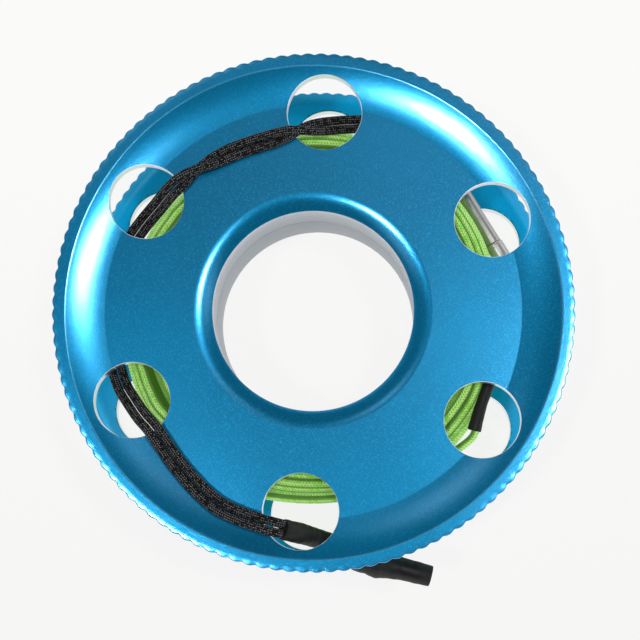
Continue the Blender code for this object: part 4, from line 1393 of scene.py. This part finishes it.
def strand_side(middle, index, spacing, crossings):
    """Half the strands' spacing at a route's point, turned over where the strands cross."""
    before = middle[max(index - 1, 0)]
    after = middle[min(index + 1, len(middle) - 1)]
    along = (after - before).normalized()
    side = Vector(Z_AXIS).cross(along).normalized() * spacing / 2
    turn = sum(pi * smooth_step((index - place) / reach + 0.5) for place, reach in crossings)
    lift = Vector((0, 0, CROSSING_LIFT)) * abs(sin(turn))
    return Matrix.Rotation(turn, 4, along) @ side, lift


def eye_loop(middle, eye, spacing, step_length, crossings=(), steps=1):
    """One cord laid along a route, through the swivel's eye at its end, and back."""
    pull = (eye - middle[-1]).normalized()
    across = Vector(Z_AXIS).cross(pull).normalized()
    turn_middle = eye - pull * EYE_LOOP_RADIUS
    bend = []
    for angle in (pi * step / 12 for step in range(13)):
        bend.append(turn_middle + (across * cos(angle) + pull * sin(angle)) * EYE_LOOP_RADIUS)
    route = fine_curve(middle, steps) if steps > 1 else middle
    scaled = [(place * steps, reach * steps) for place, reach in crossings]
    out, back = [], []
    for index, point in enumerate(route):
        side, lift = strand_side(route, index, spacing, scaled)
        out.append(point + lift + side)
        back.append(point + lift - side)
    out = laid([*out, bend[0]], step_length)
    back = laid([*back, bend[-1]], step_length)
    return [*out, *laid(bend, step_length)[1:-1], *reversed(back)]


def sleeve_piece(name, route, material, wall=0.0, bore_depth=0.0):
    """A shrunk sleeve along a route of points with radii, hollow at its far end."""
    centres = fine_curve([Vector(row[:3]) for row in route], 10)
    sizes = fine_curve([Vector((row[3], 0, 0)) for row in route], 10)
    radii = [
        size.x * (1 + 0.018 * sin(index * 0.61 + 0.5) * sin(index * 0.23))
        for index, size in enumerate(sizes)
    ]
    start, end = radii[0], radii[-1]
    if wall:
        inner = end - wall
        closing = [
            (0.00013, inner + 0.0001), (-0.00002, inner), (-bore_depth, inner * 0.96),
            (-bore_depth * 1.04, inner * 0.6), (-bore_depth * 1.05, inner * 0.0008),
        ]
    else:
        closing = [(0.00015, end * 0.6), (0.00014, end * TIP_SHARE)]
    ends = []
    for here, before, radius, edge, rows in (
        (centres[0], centres[1], start, 0.0003,
         [(0.0003, start * 0.6), (0.00029, start * TIP_SHARE)]),
        (centres[-1], centres[-2], end, 0.00015, closing),
    ):
        out = (here - before).normalized()
        rows = [(edge * sin(a), radius - edge * (1 - cos(a))) for a in quarter(4)] + rows
        ends.append([(here + out * reach, width) for reach, width in rows])
    path = [*reversed(ends[0]), *zip(centres, radii), *ends[1]]
    return add_object(name, sleeve_mesh(name, path, centres), material)


def sleeve_mesh(name, path, guide):
    """A closed skin of rings round a path, whose rings stand square to the guide curve."""
    rings = []
    for point, width in path:
        near = min(range(len(guide)), key=lambda spot: (guide[spot] - point).length)
        before = guide[max(near - 1, 0)]
        after = guide[min(near + 1, len(guide) - 1)]
        along = (after - before).normalized()
        side = Vector(Z_AXIS).cross(along).normalized()
        top = along.cross(side)
        angles = [tau * step / SLEEVE_STEPS for step in range(SLEEVE_STEPS)]
        rings.append([point + (side * cos(a) + top * sin(a)) * width for a in angles])
    mesh = skin_mesh(name, rings)
    tidy_mesh(mesh, 0.00001, radians(50))
    return mesh


class BuildSwivel(bpy.types.Operator):
    """Turn the swivel's barrel and its two studs with eyes"""

    bl_idname = "dive_spool.swivel"
    bl_label = "Swivel"

    def execute(self, context):
        steel = context.scene.dive_spool_colours.steel
        axis = swivel_direction()
        barrel_steel = steel_material("swivel_barrel_steel", steel, axis)
        bright = tuple(min(1, channel * 1.18) for channel in steel)
        stud_steel = steel_material("swivel_stud_steel", bright, axis)
        wide, narrow, mouth, bore, end = 0.0017, 0.0014, 0.00065, 0.00105, 0.0009
        groove = []
        for distance, depth in (
            (0.0, 0), (0.0062, 0), (0.00626, 0.00004), (0.00632, 0.00004), (0.00638, 0),
            (0.0166, 0), (0.01668, 0.00008), (0.01682, 0.00008), (0.0169, 0), (BARREL_LENGTH, 0),
        ):
            radius = wide + (narrow - wide) * distance / BARREL_LENGTH
            groove.append((radius - depth, -distance))
        outline = rounded([
            (mouth, 0), *groove, (mouth, -BARREL_LENGTH), (mouth, end - BARREL_LENGTH),
            (bore, end - BARREL_LENGTH), (bore, -end), (mouth, -end),
        ], {1: 0.00018, len(groove): 0.0002})
        mesh = turned_mesh("swivel_barrel_turned", outline, STUD_STEPS)
        mesh.transform(standing(axis, swivel_point(BARREL_FRONT_DISTANCE + SEAT_GAP * 0.8)))
        tidy_mesh(mesh)
        piece = add_object("swivel_barrel_turned", mesh, barrel_steel)
        finish_piece(piece, "barrel", "satin_steel", "swivel_barrel")
        for node, collar, reach, distance, outward in (
            ("swivel_line_eye", COLLAR_LENGTH, LINE_EYE_REACH, BARREL_FRONT_DISTANCE, 1),
            ("swivel_cord_eye", 0, CORD_EYE_REACH, BARREL_BACK_DISTANCE, -1),
        ):
            place = standing(axis * outward, swivel_point(distance))
            stud = self.stud(node + "_forged", collar, reach, place, stud_steel)
            finish_piece(stud, "spool", "satin_steel", node)
        return {"FINISHED"}

    def stud(self, name, collar, reach, place, material):
        """A stud with its head in the barrel, and the eye on its other end."""
        shank, head, head_length, flare, dome = 0.00035, 0.00075, 0.0012, 0.0003, 0.0009
        head_top = -0.0009 - SEAT_GAP
        neck_start = SEAT_GAP + collar
        neck_top = neck_start + NECK_LENGTH + 0.00025
        outline = [(0, neck_top), (NECK_RADIUS, neck_top)]
        if collar:
            outline += arc((NECK_RADIUS + flare, neck_start + flare), flare, pi, pi * 1.5, 4)
            outline += arc((COLLAR_RADIUS - dome, neck_start - dome), dome, pi / 2, 0, 10)
            for depth, height in ((0, 0.0009), (6e-5, 0.00084), (6e-5, 0.0007), (0, 0.00064)):
                outline.append((COLLAR_RADIUS - depth, SEAT_GAP + height))
            outline += arc((COLLAR_RADIUS - 0.0002, SEAT_GAP + 0.0002), 0.0002, 0, -pi / 2, 4)
        else:
            outline += [(NECK_RADIUS, SEAT_GAP + 0.0001), (NECK_RADIUS - 0.0001, SEAT_GAP)]
        outline += [
            (shank, SEAT_GAP), (shank, head_top), (head, head_top),
            (head, head_top - head_length), (0, head_top - head_length),
        ]
        stem_mesh = turned_mesh(name, outline, STUD_STEPS)
        wire = arc((EYE_RADIUS, 0), EYE_WIRE_RADIUS, 0, -tau, 24)[:-1]
        ring_mesh = turned_mesh(name + "_ring", wire, 72)
        level = place.to_3x3().inverted() @ Vector(Z_AXIS)
        ring_mesh.transform(standing(level.cross(Vector(Z_AXIS)), (0, 0, reach)))
        for mesh in (stem_mesh, ring_mesh):
            tidy_mesh(mesh)
        base = add_object(name + "_stem", stem_mesh, material)
        ring = add_object(name + "_ring", ring_mesh, material)
        union = base.modifiers.new("Eye", "BOOLEAN")
        union.operation = "UNION"
        union.object = ring
        union.solver = "EXACT"
        piece = plain_piece(name, base)
        bpy.data.objects.remove(ring, do_unlink=True)
        piece.data.transform(place)
        tidy_mesh(piece.data, 1e-7)
        return piece


class BuildCord(bpy.types.Operator):
    """Lace the elastic cord through the flange holes, with its knot and sleeve"""

    bl_idname = "dive_spool.cord"
    bl_label = "Elastic cord"

    def execute(self, context):
        sizes = context.scene.dive_spool_sizes
        colours = context.scene.dive_spool_colours
        diameter = sizes.cord_diameter
        braid = braid_material(
            "elastic_cover", colours.elastic, colours.elastic_crown_highlight, ELASTIC_BRAID,
            depth=0.00005, roughness=0.6, sheen=0.0, specular=0.06, crown=0.7
        )
        values = {
            **ELASTIC_BRAID, "Sides": 36, "Diameter": diameter, "Relief": sizes.cord_relief,
            "Cover": braid,
        }
        middle = [Vector(point) for point in CORD_ROUTE]
        eye = swivel_point(BARREL_BACK_DISTANCE - CORD_EYE_REACH)
        line = eye_loop(middle, eye, CORD_SPACING, CORD_STEP, CORD_CROSSINGS, 4)
        path = ended(line, diameter / 2)
        cord = tube_piece("elastic_cord", path, values)
        finish_piece(cord, "spool", "black_elastic", "bungee_cord")
        tuple(line[0])
        round(chain_length(line), 4)
        [tuple(point) for point, _ in path[::4]]
        start, end = (Vector(CORD_SLEEVE_ROUTE[index][:3]) for index in KNOT_ENDS)
        knot = knot_piece(
            "elastic_cord_knot", *CORD_KNOT, standing(end - start, (start + end) / 2),
            {**values, "Relief": 0.00004}
        )
        finish_piece(knot, "spool", "black_elastic", "bungee_knot")
        shrunk = sleeve_material("cord_sleeve_black", colours.sleeve)
        sleeve = sleeve_piece(
            "cord_shrunk_sleeve", CORD_SLEEVE_ROUTE, shrunk, sizes.sleeve_wall, CORD_BORE_DEPTH
        )
        finish_piece(sleeve, "spool", "black_sleeve", "bungee_sleeve")
        return {"FINISHED"}


# Stage


def add_lamp(name, across, up, size, power):
    """A lamp that faces the spool. across and up are its direction's x and y."""
    data = bpy.data.lights.new(name, "AREA")
    data.shape = "ELLIPSE"
    data.size, data.size_y = size
    data.energy = power
    out = Vector((across, up, sqrt(1 - across ** 2 - up ** 2)))
    lamp = bpy.data.objects.new(name, data)
    bpy.context.scene.collection.objects.link(lamp)
    lamp.matrix_world = standing(out, Vector((0, 0, WIDTH)) + out * LAMP_DISTANCE)


def room_light(world, strength):
    """A pale room: bright low down, dark overhead, with soft bright patches."""
    world.use_nodes = True
    tree = world.node_tree
    direction = put(tree, "ShaderNodeTexCoord", out="Generated")
    level_direction = direction.vector("MULTIPLY", (1, 1, 0))
    overhead = OVERHEAD_LIGHT
    for centre, reach, brightness in ROOM_PATCHES:
        away = level_direction.vector("DISTANCE", (*centre, 0), "Value")
        overhead = away.ranged(0.0, reach, brightness, 0.0) + overhead
    low = direction.parts()[2].ranged(0.22, 0.5, 1.0, 0.0)
    level = low.maths("MULTIPLY_ADD", LOW_LIGHT, overhead * (1.0 - low))
    feed(tree, tree.nodes["Background"], {"Color": (0.98, 0.99, 1.0), "Strength": level * strength})


def floor_material(colour):
    """A pale floor that the camera and shiny pieces see nearly white, with a faint shadow and
    painted shade towards its near side.
    """
    material = bpy.data.materials.new("pale_floor")
    material.use_nodes = True
    tree = material.node_tree
    tree.nodes.clear()
    # Painted shade: the floor darkens towards its near side
    far = put(tree, "ShaderNodeTexCoord", out="Object").parts()[1].ranged(-0.07, 0.07)
    tone = blended(far, shaded(colour, FLOOR_SHADE), colour)
    diffuse = put(tree, "ShaderNodeBsdfDiffuse", {"Color": tone})
    glow = put(tree, "ShaderNodeEmission", {"Color": tone, "Strength": FLOOR_GLOW})
    seen = put(tree, "ShaderNodeMixShader", {0: FLOOR_GLOW_SHARE, 1: diffuse, 2: glow})
    rays = put(tree, "ShaderNodeLightPath", out=None)
    direct = rays["Is Camera Ray"].maths("MAXIMUM", rays["Is Glossy Ray"])
    direct = direct.maths("MAXIMUM", rays["Is Transmission Ray"])
    both = put(tree, "ShaderNodeMixShader", {0: direct, 1: diffuse, 2: seen})
    put(tree, "ShaderNodeOutputMaterial", {0: both}, out=None)
    return material


class BuildStage(bpy.types.Operator):
    """Set up the camera, the lamps, the room light and the pale floor"""

    bl_idname = "dive_spool.stage"
    bl_label = "Stage"

    def execute(self, context):
        scene = context.scene
        settings = scene.dive_spool_stage
        data = bpy.data.cameras.new("photo_camera")
        data.sensor_width = SENSOR_WIDTH
        data.lens = FOCAL_PIXELS * SENSOR_WIDTH / PICTURE_PIXELS
        data.clip_start = 0.01
        camera = bpy.data.objects.new("photo_camera", data)
        scene.collection.objects.link(camera)
        tilt = Matrix.Rotation(CAMERA_TILT_Y, 3, "Y") @ Matrix.Rotation(CAMERA_TILT_X, 3, "X")
        back = tilt.transposed()
        place = back.to_4x4()
        seen_from = Vector((*CAMERA_PLACE, settings.camera_distance))
        place.translation = back @ seen_from + Vector((0, 0, WIDTH))
        camera.matrix_world = place
        scene.camera = camera
        scene.view_settings.view_transform = "Standard"
        scene.world = bpy.data.worlds.new("even_room")
        room_light(scene.world, settings.room)
        for lamp in LAMPS:
            add_lamp(*lamp, settings.lamp_power)
        corners = ((-1, -1), (1, -1), (1, 1), (-1, 1))
        mesh = bpy.data.meshes.new("floor")
        mesh.from_pydata(
            [(x * FLOOR_HALF, y * FLOOR_HALF, -FLOOR_DROP) for x, y in corners], [], [(0, 1, 2, 3)]
        )
        add_object("floor", mesh, floor_material(settings.floor))
        return {"FINISHED"}


class SpoolPanel(bpy.types.Panel):
    """Sizes, colours and build steps of the dive spool"""

    bl_idname = "VIEW3D_PT_dive_spool"
    bl_label = "Dive spool"
    bl_space_type = "VIEW_3D"
    bl_region_type = "UI"
    bl_category = "Dive spool"

    def draw(self, context):
        layout = self.layout
        for settings in ("dive_spool_sizes", "dive_spool_colours", "dive_spool_stage"):
            group = getattr(context.scene, settings)
            box = layout.box()
            for name in group.__annotations__:
                box.prop(group, name)
        for operator in OPERATORS:
            layout.operator(operator.bl_idname)


OPERATORS = (BuildStage, BuildCord, BuildFlanges, BuildHub, BuildLine, BuildSwivel)
CLASSES = (SpoolSizes, SpoolColours, StageSettings, *OPERATORS, SpoolPanel)


def register():
    for item in CLASSES:
        bpy.utils.register_class(item)
    bpy.types.Scene.dive_spool_sizes = PointerProperty(type=SpoolSizes)
    bpy.types.Scene.dive_spool_colours = PointerProperty(type=SpoolColours)
    bpy.types.Scene.dive_spool_stage = PointerProperty(type=StageSettings)


def unregister():
    del bpy.types.Scene.dive_spool_stage
    del bpy.types.Scene.dive_spool_colours
    del bpy.types.Scene.dive_spool_sizes
    for item in reversed(CLASSES):
        bpy.utils.unregister_class(item)


def main():
    register()
    bpy.ops.dive_spool.stage()
    bpy.ops.dive_spool.cord()
    bpy.ops.dive_spool.flanges()
    bpy.ops.dive_spool.hub()
    bpy.ops.dive_spool.line()
    bpy.ops.dive_spool.swivel()
    bpy.context.view_layer.update()


if __name__ == "__main__":
    main()
